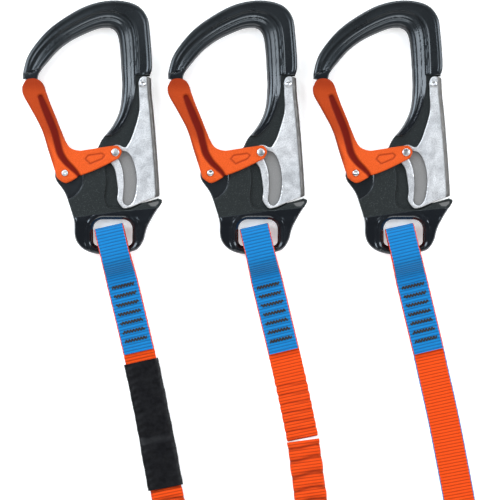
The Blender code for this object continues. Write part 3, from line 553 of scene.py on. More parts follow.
def forged_finish(colours):
    """Black anodised metal: polished with a bluish sheen, satin and grainy on the plate. Where the
    satin number passes 1.1 it is mixed towards light grey: painted light on the pocket floor seen
    through the lever's slot, a painted highlight on the pocket's rim, and paler in the tip's dish.
    """
    f = Finish("black anodised forging", colours.body, 0.2, Metallic=0.0,
               Specular_IOR_Level=0.75, Specular_Tint=(0.82, 0.92, 1.0, 1.0),
               Coat_Weight=0.5, Coat_Roughness=0.1)
    satin = f.value("satin")
    grain = f.noise(2600, 3.0, 0.7)
    cloudy = f.noise(60, 3.0)
    speckle = f.spread(f.noise(1500, 2.0), 0.55, 0.75)
    grey = f.mix(speckle, tuple(colours.plate), tuple(3.2 * c for c in colours.plate))
    colour = f.mix(satin, tuple(colours.body), grey)
    # Light grey mixed in where satin passes 1.1: painted light through the slot, a painted highlight
    # on the pocket rim, paler in the tip dish
    lit_and_pale = f.mix(speckle, tuple(colours.lit_and_pale), tuple(1.3 * c for c in colours.lit_and_pale))
    colour = f.mix(f.spread(satin, 1.1, 2.0), colour, lit_and_pale)
    rough = f.maths("ADD", f.maths("MULTIPLY", satin, 0.3), f.spread(cloudy, 0.3, 0.7, 0.17, 0.25))
    fine = f.bump(f.maths("MULTIPLY", grain, satin), 0.5, 0.00012)
    return f.done(Base_Color=colour, Roughness=rough, Normal=f.bump(cloudy, 0.15, 0.0002, fine),
                  Specular_IOR_Level=f.spread(satin, 0.0, 1.0, 0.5, 0.2),
                  Coat_Weight=f.spread(satin, 0.0, 0.8, 0.25, 0.0))


def gate_finish(colours):
    """Orange anodised and sandblasted metal, with painted shade in the hollow, along the outer
    shoulder and round the window, and darker towards the upper limb.
    """
    f = Finish("orange anodised gate", colours.gate, 0.55, Metallic=0.1,
               Specular_IOR_Level=0.1)
    sand = f.noise(1900, 3.0, 0.75)
    mottled = f.mix(f.spread(sand, 0.35, 0.7), tuple(0.82 * c for c in colours.gate),
                    tuple(min(1.0, 1.15 * c + 0.01) for c in colours.gate))
    # Painted shade in the hollow, along the outer shoulder and round the window, and darker up the
    # limb
    colour = f.mix(f.value("shade"), mottled, tuple(colours.gate_shaded))
    rough = f.spread(f.noise(300, 2.0), 0.3, 0.7, 0.5, 0.62)
    return f.done(Base_Color=colour, Roughness=rough, Normal=f.bump(sand, 0.55, 0.00016))


def lever_finish(colours):
    """Bare aluminium, tumbled: bright, with fine dents and cloudy brushing, and painted shade where
    the cheek rolls round the folded back.
    """
    f = Finish("tumbled aluminium", colours.lever, 0.4, Metallic=0.55)
    dents = f.noise(1300, 3.0, 0.7)
    cloudy = f.noise(180, 3.0)
    tone = f.mix(f.spread(dents, 0.36, 0.6), tuple(0.72 * c for c in colours.lever),
                 tuple(colours.lever))
    clouds = f.spread(f.noise(45, 3.0), 0.35, 0.65)
    tone = f.mix(1.0, tone, f.mix(clouds, (0.86, 0.87, 0.88), (1.0, 1.0, 1.0)), "MULTIPLY")
    # Painted shade where the cheek rolls round the folded back
    tone = f.mix(f.value("shade"), tone, (0.075, 0.07, 0.065))
    rough = f.spread(cloudy, 0.3, 0.7, 0.3, 0.5)
    return f.done(Base_Color=tone, Roughness=rough, Normal=f.bump(dents, 0.5, 0.00014))


def steel_finish(name, colour, roughness):
    """Bright steel with fine turning marks and faint clouds."""
    f = Finish(name, colour, roughness, Metallic=1.0)
    marks = f.noise(900, 3.0, 0.6)
    tone = f.mix(f.spread(marks, 0.3, 0.7), tuple(0.8 * c for c in colour), tuple(colour))
    rough = f.spread(f.noise(250, 2.0), 0.3, 0.7, roughness * 0.8, roughness * 1.4)
    return f.done(Base_Color=tone, Roughness=rough, Normal=f.bump(marks, 0.25, 0.00008))


def webbing_finish(name, sizes, face, back):
    """Woven polyester: ribs across the width with painted shade in the valleys between them,
    two-yarn twill within each rib, and one colour on the face and another on the back, with
    painted shade in deep creases. The cloth map counts across and along in centimetres."""
    f = Finish(name, face, 0.82, Sheen_Weight=0.08, Sheen_Roughness=0.5,
               Specular_IOR_Level=0.12)
    cloth = f.place("UV")
    turned = f.place("UV", (1.0, 0.35, 1.0))
    ribs = f.waves(10 / sizes.rib_pitch * 0.314, "Y", cloth, 0.25)
    yarns = f.waves(5.0, "DIAGONAL", f.place("UV", (1.0, 2.2, 1.0)), 0.3)
    fuzz = f.noise(60, 4.0, 0.7, turned)
    side = f.spread(f.value("back"), 0.4, 0.6)
    base = f.mix(side, tuple(face), tuple(back))
    # Painted shade in the valleys between the ribs
    dark = f.mix(f.spread(ribs, 0.0, 0.45), (0.55, 0.55, 0.55), (1.0, 1.0, 1.0))
    base = f.mix(1.0, base, dark, "MULTIPLY")
    tint = f.mix(f.spread(fuzz, 0.3, 0.7), (0.82, 0.82, 0.82), (1.1, 1.1, 1.1))
    base = f.mix(1.0, base, tint, "MULTIPLY")
    # Painted shade in deep creases of the cloth
    shadow = f.spread(f.value("crease"), 0.0, 1.0, 0.0, 0.7)
    base = f.mix(shadow, base, tuple(0.12 * c for c in face))
    normal = f.bump(yarns, 0.5, 0.00022)
    normal = f.bump(fuzz, 0.3, 0.00015, normal)
    return f.done(Base_Color=base, Normal=normal)


def plain_finish(name, colour, roughness, grain, relief_height, **constants):
    """A dark moulded or spun surface with cloudy tone and fine relief."""
    f = Finish(name, colour, roughness, **constants)
    cloud = f.noise(grain, 4.0, 0.6)
    tone = f.mix(f.spread(cloud, 0.3, 0.7), tuple(0.7 * c for c in colour),
                 tuple(1.5 * c for c in colour))
    rough = f.spread(f.noise(grain * 0.3, 2.0), 0.3, 0.7, roughness * 0.8, roughness * 1.2)
    return f.done(Base_Color=tone, Roughness=rough, Normal=f.bump(cloud, 0.6, relief_height))


# ---------------------------------------------------------------- shapes of a hook

def body_height(points, depth):
    """Height of the forging. Between the opening's edge and the step line it follows a profile
    of the share v of the way across: a round inner bar, a crease and a dip. Beyond the line is
    a flat flange with a round edge. Plate, pocket, nose and bar are zones at their own heights,
    and the surface round the eye rolls down into it."""
    inner = np.vstack([spline(run, 1.3) for run in INNER_RUNS])
    step = spline(STEP_RUN, 1.3)
    to_inner = nearest(points, inner)[0]
    to_step = nearest(points, step)[0]
    share = to_inner / np.maximum(to_inner + to_step, 1e-6)
    bar = np.interp(share, [0, .03, .08, .16, .27, .38, .49, .58, .65, .69, .73, .82, .92, 1],
                    [.9, 2.1, 3.3, 4.35, 5.0, BOW_HIGH, 4.95, 4.3, 3.85, 4.25, 4.1, 3.6, 3.4, 3.5])
    between = zone(points, np.vstack([step, inner]), 0.3)
    flange = 3.5 + (FLANGE_HIGH - 3.5) * ramp(to_step, 0.2, 1.5)
    flange -= 0.3 * ramp(to_step, 2.0, 3.2) * ramp(depth, 2.4, 3.6)
    flange -= rounding(depth, 1.9)
    height = flange + (bar - flange) * between

    def lay(loop, level, soft, near_edge=0.9):
        """The height, taken to a level with its own edge rounding inside a zone."""
        share_in = zone(points, loop, soft)
        return height + (level - rounding(depth, near_edge) - height) * share_in

    height = lay(NOSE_RECESS, PLATE_HIGH, 0.6)
    across = nearest(points, [(-28.5, 66.6), (-17.0, 71.6)])[0]
    height -= 0.5 * ramp(-across, -0.8, -0.2)
    eye = rounded_box(EYE_CENTRE, EYE_WIDTH, EYE_HEIGHT, EYE_RADII)
    to_eye = nearest(points, eye, closed=True)[0]
    low = BAR_HIGH + 1.35 * ramp(points[:, 1], -50.0, -33.0) + 0.35 * ramp(
        points[:, 1], -36.5, -33.0) - 0.35 * ramp(points[:, 1], -32.5, -29.0)
    low -= 1.9 * np.clip(1 - to_eye / 4.8, 0, 1) ** 2
    low -= 0.4 * np.exp(-((to_eye - 5.2) / 0.7) ** 2)
    lower = ramp(-points[:, 1], 22.0, 22.5) * ramp(70 - points[:, 0], 0, 1)
    height += (low - rounding(depth, 2.3) - height) * lower
    height = lay(PLATE_ZONE, PLATE_HIGH, 1.1)
    ear = EAR_RADIUS - np.linalg.norm(points - EAR_CENTRE, axis=1)
    ear_zone = ramp(ear, -0.4, 0.4) * ramp(18.0 - points[:, 1], 0, 1)
    height -= (0.55 + 0.35 * np.exp(-(ear / 0.9) ** 2)) * ear_zone
    height -= 0.55 * zone(points, TIP_DISH, 1.2)
    pocket = outline(POCKET_RUNS)
    height -= 0.35 * np.exp(-(np.minimum(depth_in(points, pocket), 0) / 0.55) ** 2)
    share_in = zone(points, pocket, 0.7)
    height += (POCKET_HIGH - rounding(depth, 0.5) - height) * share_in
    return height


def body_satin_and_light(points):
    """Where the forging is satin: 0 on polished parts, 1 on the plate. Above 1.1 it is painted
    light grey: painted light on the pocket floor seen through the lever's slot, a painted
    highlight on the pocket's upper rim, and paler in the tip's dish.
    """
    plate = zone(points, PLATE_ZONE, 0.7)
    limb = np.array(GATE_HOLLOW)[::-1]
    beside = points[:, 0] - np.interp(points[:, 1], limb[:, 1], limb[:, 0])
    # Painted highlight along the pocket's rim
    rim = np.exp(-(depth_in(points, outline(POCKET_RUNS)) / 0.3) ** 2)
    # Painted shade: the pocket floor keeps less satin, nearer the polished black, next to the limb
    # line
    pocket = zone(points, outline(POCKET_RUNS), 0.6) * (0.2 + 0.7 * ramp(beside, 1.0, 5.0))
    # Painted highlight: the rim's upper part is pushed past 1.1 towards light grey
    pocket = np.maximum(pocket, 1.35 * rim * ramp(points[:, 1], 10.0, 16.0))
    ear = EAR_RADIUS - np.linalg.norm(points - EAR_CENTRE, axis=1)
    plate *= 1 - 0.8 * ramp(ear, -0.4, 0.4)
    dish = zone(points, TIP_DISH, 1.0)
    # Painted light: the pocket floor seen through the lever's slot is pushed to full light grey
    slot = zone(points, outline(SLOT_RUNS), 0.4)
    bow = 0.3 * ramp(points[:, 1], 60.0, 80.0)
    return np.clip(np.maximum.reduce([plate, pocket, bow, 1.6 * dish, 2.0 * slot]), 0, 2.0)


def body_shell():
    """The forging as one shell, and its satin number for each point, which above 1.1 also carries
    painted light. The outline goes round the lever's spring, in a notch that the lever's cheeks
    cover."""
    hole = ring(GATE_PIVOT, 1.8)
    slot = rounded_box(EYE_CENTRE, EYE_WIDTH, EYE_HEIGHT, EYE_RADII)
    loops = [outline(BODY_RUNS), slot, hole]
    points, faces = relief(loops, body_height, lambda p, d: -body_height(p, d))
    return points, faces, body_satin_and_light(points[:, :2])


def hollow_depth(points):
    """Share of the gate's hollow at a point: 1 on its floor, 0 outside. The hollow follows a
    line whose half width changes along it, and has rounded banks."""
    line = spline(GATE_HOLLOW, 1.2)
    distance, _, place = nearest(points, line[:, :2])
    half = np.interp(place, np.arange(len(line)), line[:, 2])
    return ramp(half - distance, -0.25, 1.35)


def gate_height(points, depth):
    """Height of a gate cheek: flat, hollowed along the limb, grooved round a small window
    shape on the arm, with round edges and a wide soft shoulder on its outer side."""
    shoulder = np.clip(1 - nearest(points, spline(GATE_OUTER_RUN, 1.3))[0] / 3.4, 0, 1) ** 2
    window = nearest(points, np.array(GATE_WINDOW), closed=True)[0]
    bank = hollow_depth(points)
    height = GATE_HIGH - 1.25 * bank - 0.85 * shoulder * ramp(58 - points[:, 1], 0, 8)
    height -= 0.5 * np.exp(-(window / 0.5) ** 2)
    return height - rounding(depth, 0.75)


def gate_shade(points):
    """How much painted shade the gate gets: most in the hollow, and painted shade along its sloping
    outer shoulder and in the groove round the window; also darker towards the upper limb and tip.
    """
    shoulder = np.clip(1 - nearest(points, spline(GATE_OUTER_RUN, 1.3))[0] / 2.6, 0, 1)
    window = nearest(points, np.array(GATE_WINDOW), closed=True)[0]
    limb = ramp(58 - points[:, 1], 0, 10) * ramp(points[:, 1], 2, 12)
    # Darker towards the upper limb and tip
    upper = 0.5 * ramp(points[:, 1], 12, 30) + 0.2 * ramp(points[:, 1], 54, 62)
    shade = np.maximum.reduce([hollow_depth(points), 0.7 * shoulder * limb, upper])
    return np.maximum(shade, 0.6 * np.exp(-(window / 0.55) ** 2))


def widened(run, width):
    """The loop between a line and the same line moved to its right."""
    p = spline(run, 1.3)
    along = np.gradient(p, axis=0)
    along /= np.linalg.norm(along, axis=1)[:, None]
    side = np.stack([along[:, 1], -along[:, 0]], axis=1) * width
    return np.vstack([p, (p + side)[::-1]])


def gate_shell():
    """Two cheeks and the wall between them."""
    loops = [outline(GATE_RUNS), ring(GATE_PIVOT, 1.8), ring(LINK_PIN, 1.55)]
    cheek = relief(loops, gate_height, lambda p, d: np.full(len(p), GATE_LOW))
    wall = relief([widened(GATE_WALL_RUN, 2.0)], lambda p, d: np.full(len(p), GATE_LOW + 0.05),
                  lambda p, d: np.full(len(p), -GATE_LOW - 0.05), 0.6)
    points, faces = join([cheek, mirrored(cheek), wall])
    return points, faces, gate_shade(points[:, :2])


def lever_height(points, depth, fold):
    """Height of a lever cheek: flat, with round edges, rolling down at the folded back."""
    to_back = nearest(points, spline(LEVER_BACK_RUN, 1.3))[0]
    rolled = rounding(to_back, fold)
    return LEVER_HIGH - rolled - rounding(np.where(to_back < depth + 0.3, 9.0, depth), 0.55)


def lever_shell(fold):
    """Two cheeks with a curved slot, and the folded back between them."""
    loops = [outline(LEVER_RUNS), outline(SLOT_RUNS), ring(LEVER_PIVOT, 1.8)]

    def top(points, depth):
        return lever_height(points, depth, fold)

    def bottom(points, depth):
        return np.minimum(LEVER_LOW, top(points, depth) - 0.9)

    cheek = relief(loops, top, bottom)
    back = [(x - 0.15, y) for x, y in LEVER_BACK_RUN]
    low = LEVER_HIGH - fold - 0.1
    wall = relief([widened(back, 1.6)], lambda p, d: np.full(len(p), low),
                  lambda p, d: np.full(len(p), -low), 0.6)
    points, faces = join([cheek, mirrored(cheek), wall])
    to_back = nearest(points[:, :2], spline(LEVER_BACK_RUN, 1.3))[0]
    # The share of painted shade near the folded back, for each point
    return points, faces, ramp(-to_back, -fold * 1.15, -fold * 0.8)


def rivet_shell(centre, head, low, high, shaft, dimple):
    """A shaft with a domed head at each end; a dimple in the middle of a head, and a ring round
    its crown where the dimple is wide."""
    t = np.linspace(0, 1, 9)
    dome_r = head * np.sin(t * math.pi / 2)
    dome = low + (high - low) * (0.35 + 0.65 * np.cos(t * math.pi / 2))
    dome -= 0.45 * np.clip(1 - (dome_r / dimple) ** 2, 0, 1) if dimple else 0
    upper = np.column_stack([np.append(dome_r, [head, shaft]), np.append(dome, [low, low])])
    return spun(np.vstack([upper, (upper * (1, -1))[::-1]]), centre)


# ---------------------------------------------------------------- webbing shapes

class MiddleLine:
    """A strap's middle line about its hook's gate pivot, read by distance from the eye bar."""

    def __init__(self, run):
        self.points = spline(run, 1.0)
        along = np.concatenate([[0], np.cumsum(np.linalg.norm(np.diff(self.points, axis=0),
                                                              axis=1))])
        self.along = along - along[np.argmin(np.abs(self.points[:, 1] - BAR[1]))]

    def at(self, distance):
        """Places and unit directions at an array of distances."""
        place = np.stack([np.interp(distance, self.along, self.points[:, k]) for k in (0, 1)], 1)
        before, after = (np.stack([np.interp(distance + d, self.along, self.points[:, k])
                                   for k in (0, 1)], 1) for d in (-1, 1))
        ahead = after - before
        return place, ahead / np.linalg.norm(ahead, axis=1)[:, None]


def upper_heights(middle):
    """(distance, height) of the upper layer's middle, from the fold to the cut end."""
    top = 1.5 * WEBBING_THICK + LAYER_GAP
    high = middle + LOOP_HALF + WEBBING_THICK / 2
    return [(LOOP_FLAT, high), (TACKS_START - 5, top + 0.9), (TACKS_START + 4, top), (FLAP_END, top)]


def strap_profile(station, middle):
    """(distance, height) along a sewn end in side view: in from its far end, under the eye
    bar, round the fold and out again on top, as evenly spaced points on a smooth curve."""
    end, lift = STRAP_ENDS[station]
    low = WEBBING_THICK / 2
    loop_low, loop_high = (middle + s * (LOOP_HALF + WEBBING_THICK / 2) for s in (-1, 1))
    radius = (loop_high - loop_low) / 2
    fold = LOOP_REACH - radius - WEBBING_THICK / 2
    line = [(end, low + lift)]
    if lift:
        line += [(SLEEVE_START - 1, low + lift), (FLAP_END - 2, low)]
    line += [(TACKS_START + 4, low), (TACKS_START - 4, low + 0.1), (LOOP_FLAT, loop_low),
             (-fold, loop_low)]
    a = np.linspace(0, math.pi, 9)[1:-1]
    line += list(zip(-fold - radius * np.sin(a), middle - radius * np.cos(a)))
    line += [(-fold, loop_high)] + upper_heights(middle)
    dense = spline(line, 0.3)
    along = np.concatenate([[0], np.cumsum(np.linalg.norm(np.diff(dense, axis=0), axis=1))])
    even = np.arange(0, along[-1], 0.38)
    return np.stack([np.interp(even, along, dense[:, k]) for k in (0, 1)], 1), even


def flat_section(width, thick, across=30, edge=5):
    """Points round a flat strap's section: (across, up, share towards the back face)."""
    flat = np.linspace(-1, 1, across)
    a = np.linspace(0, math.pi, edge + 2)[1:-1]
    half = width / 2 - thick / 2
    y = np.concatenate([half * -flat, -half - thick / 2 * np.sin(a),
                        half * flat, half + thick / 2 * np.sin(a)])
    z = thick / 2 * np.concatenate([np.ones(across), np.cos(a), -np.ones(across), -np.cos(a)])
    back = np.concatenate([np.ones(across), np.full(edge, 0.3), np.zeros(across),
                           np.full(edge, 0.3)])
    return y, z, back


def ribbon(centre, side, up, along, width, thick, relief_of, across=30):
    """Flat sections carried along a path. At each path point the section is laid along side
    and up, its width follows the width array, and relief_of(along, across, face) moves its
    points out of the face and to the side."""
    y, z, back = flat_section(1.0, thick / width.mean(), across)
    across_mm = y[None, :] * width[:, None]
    face = np.sign(z)[None, :] * (np.abs(z) > 0.49 * thick / width.mean())[None, :]
    rise, stretch = relief_of(along[:, None] + 0 * across_mm, across_mm, face + 0 * across_mm)
    lateral = across_mm * stretch
    height = z[None, :] * width.mean() + rise * face
    rings = (centre[:, None, :] + side[:, None, :] * lateral[..., None]
             + up[:, None, :] * height[..., None])
    points, faces = skin(rings)
    uv = np.stack([across_mm / 10, along[:, None] / 10 + 0 * across_mm], axis=-1).reshape(-1, 2)
    uv = np.vstack([uv, uv[0], uv[-1]])
    # crease is the depth of the relief, which sets the painted shade of the webbing
    values = {"back": np.append(np.tile(back, len(centre)), [0.3, 0.3]),
              "crease": np.append(np.clip(-rise / CREASE_FULL, 0, 1).ravel(), [0, 0])}
    return points, faces, uv, values


def ribs(along, pitch, depth):
    """Rounded ribs with narrow valleys between them."""
    return depth * (np.abs(np.sin(math.pi * along / pitch)) ** 0.7 - 1)


def woven(sizes):
    """Relief of plain webbing: ribs across it and a smooth raised selvedge."""
    def relief_of(along, across, face):
        edge = ramp(np.abs(across), 8.6, 9.4)
        rise = ribs(along, sizes.rib_pitch, sizes.rib_depth) * (1 - 0.7 * edge)
        stretch = 1 + 0.006 * np.sin(along * 1.1) + 0.004 * np.sin(along * 2.7 + 1)
        return rise, stretch
    return relief_of


def gathered(sizes, start=0.0):
    """Relief of webbing drawn together by the elastic inside: bulges of uneven length with
    sharp bent creases between them, fine ribs on each, and edges that swell with the bulges."""
    def relief_of(along, across, face):
        bent = along + 0.9 * np.sin(across * 0.21 + along * 0.05) + 1.1 * np.sin(along * 0.19)
        bulge = np.abs(np.sin(math.pi * bent / sizes.gather_pitch)) ** 0.55
        share = ramp(along, start, start + 4)
        rise = sizes.gather_depth * (bulge - 1) * share
        rise = rise + ribs(along, sizes.rib_pitch, 0.14)
        swing = 0.045 * (bulge - 0.8) + 0.012 * np.sin(along * 0.33)
        return rise, 1 + swing * share
    return relief_of


def shirred(sizes):
    """Relief of the elastic strap below its flap: plain ribs that turn into small puckers."""
    plain = woven(sizes)
    def relief_of(along, across, face):
        rise, stretch = plain(along, across, face)
        from_end = ramp(-along, -46.0, -40.0)
        wave = np.abs(np.sin(math.pi * (along + 0.5 * np.sin(across * 0.3)) / 6.3)) ** 0.6
        return rise + from_end * 0.75 * (wave - 1), stretch + from_end * 0.05 * (wave - 0.7)
    return relief_of


def strap_shell(station, sizes):
    """One sewn strap end about its hook's gate pivot, with z from the floor."""
    middle = station_place(station)[2]
    profile, along = strap_profile(station, middle)
    place, ahead = MiddleLine(STRAP_RUNS[station]).at(profile[:, 0])
    slope = np.gradient(profile, axis=0)
    slope /= np.linalg.norm(slope, axis=1)[:, None]
    centre = np.column_stack([place, profile[:, 1]])
    side = np.column_stack([-ahead[:, 1], ahead[:, 0], np.zeros(len(ahead))])
    up = np.column_stack([-slope[:, 1:] * ahead, slope[:, 0]])
    width = np.interp(profile[:, 0], (LOOP_HALF, TACKS_START), (FOLD_WIDTH, sizes.webbing_width))
    made = shirred(sizes) if station == "elastic" else woven(sizes)
    return ribbon(centre, side, up, along, width, WEBBING_THICK, made)


def leg_path(route, width, thick, step):
    """Centres, sides, ups and distances along a leg. Its middle line is a smooth curve through
    the route's points; the section turns about it by the roll, and the outer size rests on
    the floor plus the lift."""
    first = station_place(STATIONS[0])
    pitch = station_place(STATIONS[1])[0] - first[0]
    rows = [(first[0] + x + number * pitch, first[1] + y, lift, roll)
            for number, x, y, lift, roll in route]
    line = spline(rows, step)
    ahead = np.gradient(line[:, :2], axis=0)
    ahead /= np.linalg.norm(ahead, axis=1)[:, None]
    turn = np.radians(line[:, 3])
    side = np.column_stack([-ahead[:, 1] * np.cos(turn), ahead[:, 0] * np.cos(turn),
                            np.sin(turn)])
    up = np.column_stack([ahead[:, 1] * np.sin(turn), -ahead[:, 0] * np.sin(turn),
                          np.cos(turn)])
    rise = width / 2 * np.abs(np.sin(turn)) + thick / 2 * np.abs(np.cos(turn))
    centre = np.column_stack([line[:, :2], np.maximum(line[:, 2], 0) + rise])
    along = np.concatenate([[0], np.cumsum(np.linalg.norm(np.diff(centre, axis=0), axis=1))])
    return centre, side, up, along


def tack_shell(station, sizes):
    """Rows of close zigzag stitches across the flap: each row is a round thread whose middle
    swings along the strap while it crosses it, and dips into the cloth at its ends."""
    line = MiddleLine(STRAP_RUNS[station])
    heights = np.array(upper_heights(station_place(station)[2]))
    shells = []
    a = np.arange(7) * math.tau / 7
    for row in range(sizes.tack_rows):
        t = np.linspace(-1, 1, 141)
        teeth = 2 / math.pi * np.arcsin(np.sin(t * math.pi * 7.5 + row))
        distance = TACK_START + row * sizes.tack_pitch + sizes.tack_swing * teeth
        place, ahead = line.at(distance)
        across = np.column_stack([-ahead[:, 1], ahead[:, 0]])
        flat = place + across * (t * sizes.tack_width / 2)[:, None]
        top = np.interp(distance, heights[:, 0], heights[:, 1]) + WEBBING_THICK / 2
        top += TACK_LIFT - 0.5 * ramp(np.abs(t), 0.96, 1.0)
        centre = np.column_stack([flat, top])
        run = np.gradient(centre, axis=0)
        run /= np.linalg.norm(run, axis=1)[:, None]
        out = np.column_stack([-run[:, 1], run[:, 0], np.zeros(len(run))])
        out /= np.linalg.norm(out, axis=1)[:, None]
        up = np.cross(run, out)
        rings = (centre[:, None, :] + TACK_THREAD * (out[:, None, :] * np.cos(a)[None, :, None]
                 + up[:, None, :] * np.sin(a)[None, :, None] * 0.75))
        shells.append(skin(rings))
    return join(shells)


def sleeve_shell():
    """The shrunk sleeve about the harness hook's gate pivot: flat oval sections, thicker past
    a soft step, with shallow puckers where it has shrunk onto the edges of the straps."""
    line = MiddleLine(STRAP_RUNS["harness"])
    s = np.linspace(0, SLEEVE_LENGTH, 160)
    place, ahead = line.at(SLEEVE_START + s)
    step_at = SLEEVE_STEP * SLEEVE_LENGTH
    tall = SLEEVE_LOW + SLEEVE_RISE * ramp(s, step_at - 2.5, step_at + 2.5)
    tall = tall - 0.35 * np.exp(-((s - step_at + 3) / 2.0) ** 2)
    wide = SLEEVE_WIDE - 0.5 + 0.5 * ramp(s, step_at - 2, step_at + 2)
    wide = wide + 0.22 * np.sin(s * 0.31) + 0.14 * np.sin(s * 0.83 + 1)
    a = np.arange(96) * math.tau / 96
    flat_y = np.sign(np.cos(a)) * np.abs(np.cos(a)) ** 0.36
    flat_z = np.sign(np.sin(a)) * np.abs(np.sin(a)) ** 0.55
    pucker = (0.16 * np.sin(s[:, None] * 0.55 + 3 * flat_y) * np.abs(flat_y) ** 3
              + 0.10 * np.sin(s[:, None] * 1.3 + 5 * flat_y) * np.abs(flat_y))

    def rings(wall):
        across = flat_y * (wide[:, None] / 2 - wall)
        height = flat_z * (tall[:, None] / 2 - wall + pucker * (flat_z > 0)) + tall[:, None] / 2
        side = np.column_stack([-ahead[:, 1], ahead[:, 0]])
        flat = place[:, None, :] + side[:, None, :] * across[..., None]
        return np.concatenate([flat, height[..., None]], axis=-1)

    return skin(np.concatenate([rings(0), rings(SLEEVE_WALL)[::-1]]), closed=True)


# ---------------------------------------------------------------- settings

def colour_property(name, description, default):
    return FloatVectorProperty(name=name, description=description, default=default, size=3,
                               min=0.0, max=1.0, subtype="COLOR")


class TetherSizes(bpy.types.PropertyGroup):
    """Sizes that a user would change, in millimetres."""
    webbing_width: FloatProperty(name="Webbing width", default=21.5, min=15, max=25,
                                 description="Width of the woven straps, in millimetres")
    rib_pitch: FloatProperty(name="Rib pitch", default=2.15, min=1, max=5,
                             description="From one rib of the weave to the next, in millimetres")
    rib_depth: FloatProperty(name="Rib depth", default=0.26, min=0, max=1,
                             description="Depth of the valleys between ribs, in millimetres")
    gather_pitch: FloatProperty(name="Gather pitch", default=9.4, min=4, max=20,
                                description="Length of a bulge of the elastic leg, in millimetres")
    gather_depth: FloatProperty(name="Gather depth", default=1.2, min=0, max=1.25,
                                description="Depth of the creases between bulges, in millimetres")
    tack_rows: IntProperty(name="Tack rows", default=7, min=1, max=7,
                           description="Rows of zigzag stitches on each flap")
    tack_pitch: FloatProperty(name="Tack pitch", default=6.3, min=3, max=7,
                              description="From one row of stitches to the next, in millimetres")
    tack_width: FloatProperty(name="Tack width", default=15.4, min=8, max=18,
                              description="Length of a row across the strap, in millimetres")
    tack_swing: FloatProperty(name="Tack swing", default=0.95, min=0.3, max=2,
                              description="How far a stitch swings to each side, in millimetres")
    lever_fold: FloatProperty(name="Lever fold", default=3.0, min=1, max=3.4,
                              description="Radius of the lever's folded back, in millimetres")


class TetherColours(bpy.types.PropertyGroup):
    """Colours of the finishes."""
    body: colour_property("Forging", "Polished black of the forged hooks", (0.006, 0.007, 0.009))
    plate: colour_property("Plate", "Satin grey of the plate and pocket", (0.014, 0.016, 0.0155))
    # Light grey of the painted light on the pocket floor seen through the lever's slot and of a
    # painted highlight on the pocket's rim; also the paler tip dish
    lit_and_pale: colour_property("Worn metal", "Bare grey seen through the slot", (0.20, 0.195, 0.19))
    gate: colour_property("Gate", "Orange of the gates", (0.66, 0.085, 0.010))
    # Colour of the painted shade in the gate's hollow, along its shoulder and round its window
    gate_shaded: colour_property("Gate hollow", "Deep tone in the gate's hollow", (0.13, 0.005, 0.001))
    lever: colour_property("Lever", "Bare metal of the levers", (0.75, 0.75, 0.76))
    blue: colour_property("Webbing back", "Blue back of the webbing", (0.006, 0.20, 0.52))
    orange: colour_property("Webbing face", "Orange face of the webbing", (0.84, 0.072, 0.004))
    thread: colour_property("Thread", "Thread of the tacks", (0.002, 0.002, 0.003))
    sleeve: colour_property("Sleeve", "Shrunk sleeve", (0.005, 0.005, 0.006))
    floor: colour_property("Floor", "Floor under the tether", (0.92, 0.92, 0.92))


def finish_named(name, make):
    """A finish that is made once and then shared."""
    if name not in bpy.data.materials:
        return make()
    return bpy.data.materials[name]


def settled(piece, body, slot, *nodes):
    """The piece rides on a body and stands for the CAD nodes, which it hides; slot is not used."""
    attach(piece, body)
    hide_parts(*nodes)
    return piece


# ---------------------------------------------------------------- operators

class TETHER_OT_stage(bpy.types.Operator):
    """Floor, soft lights and the camera"""
    bl_idname = "tether.stage"
    bl_label = "Stage"

    def light(self, name, place, size, power, colour):
        """A square soft light that looks at the middle of the hooks."""
        data = bpy.data.lights.new(name, "AREA")
        data.shape = "RECTANGLE"
        data.size, data.size_y = size
        data.energy = power
        data.color = colour
        lamp = bpy.data.objects.new(name, data)
        bpy.context.scene.collection.objects.link(lamp)
        lamp.location = place
        target = np.array([0.008, 0.0, 0.0]) - np.array(place)
        lamp.rotation_euler = Vector(target).to_track_quat("-Z", "Y").to_euler()

    def execute(self, context):
        colours = context.scene.tether_colours
        half = 4.0
        corners = np.array([[-half, -half, -0.0002], [half, -half, -0.0002],
                            [half, half, -0.0002], [-half, half, -0.0002]]) / MM
        f = Finish("pale floor", tuple(colours.floor), 0.9, Emission_Strength=0.42,
                   Emission_Color=(1.0, 1.0, 1.0, 1.0))
        grain = f.noise(30, 3.0)
        paper = f.mix(grain, tuple(0.985 * c for c in colours.floor), tuple(colours.floor))
        floor = make_object("floor", corners, [np.array([[0, 1, 2, 3]])],
                            f.done(Base_Color=paper))
        for lamp in SOFTBOXES:
            self.light(*lamp)
        world = bpy.data.worlds.new("studio")
        world.use_nodes = True
        world.node_tree.nodes["Background"].inputs["Color"].default_value = (0.9, 0.95, 1.0, 1)
        world.node_tree.nodes["Background"].inputs["Strength"].default_value = 0.1
        context.scene.world = world
        context.scene.view_settings.view_transform = "Standard"
        data = bpy.data.cameras.new("camera")
        data.lens = 315.8
        data.sensor_width = 36.0
        data.clip_end = 20.0
        camera = bpy.data.objects.new("camera", data)
        camera.location = (0.00815, -0.00269, 3.005)
        context.scene.collection.objects.link(camera)
        context.scene.camera = camera
        return {"FINISHED"}


class HookPieces:
    """What the operators for a hook's pieces share."""

    def at_stations(self, shell, part, body, slot, nodes, finish, values=None, sharp=38.0):
        """The same shell at each station, riding on that hook's body."""
        points, faces = shell
        for station in STATIONS:
            piece = make_object(f"{station}_{part}", points + station_place(station), faces,
                                finish, values=values, sharp=sharp)
            settled(piece, f"{station}_{body}", slot, *[f"{station}_{n}" for n in nodes])


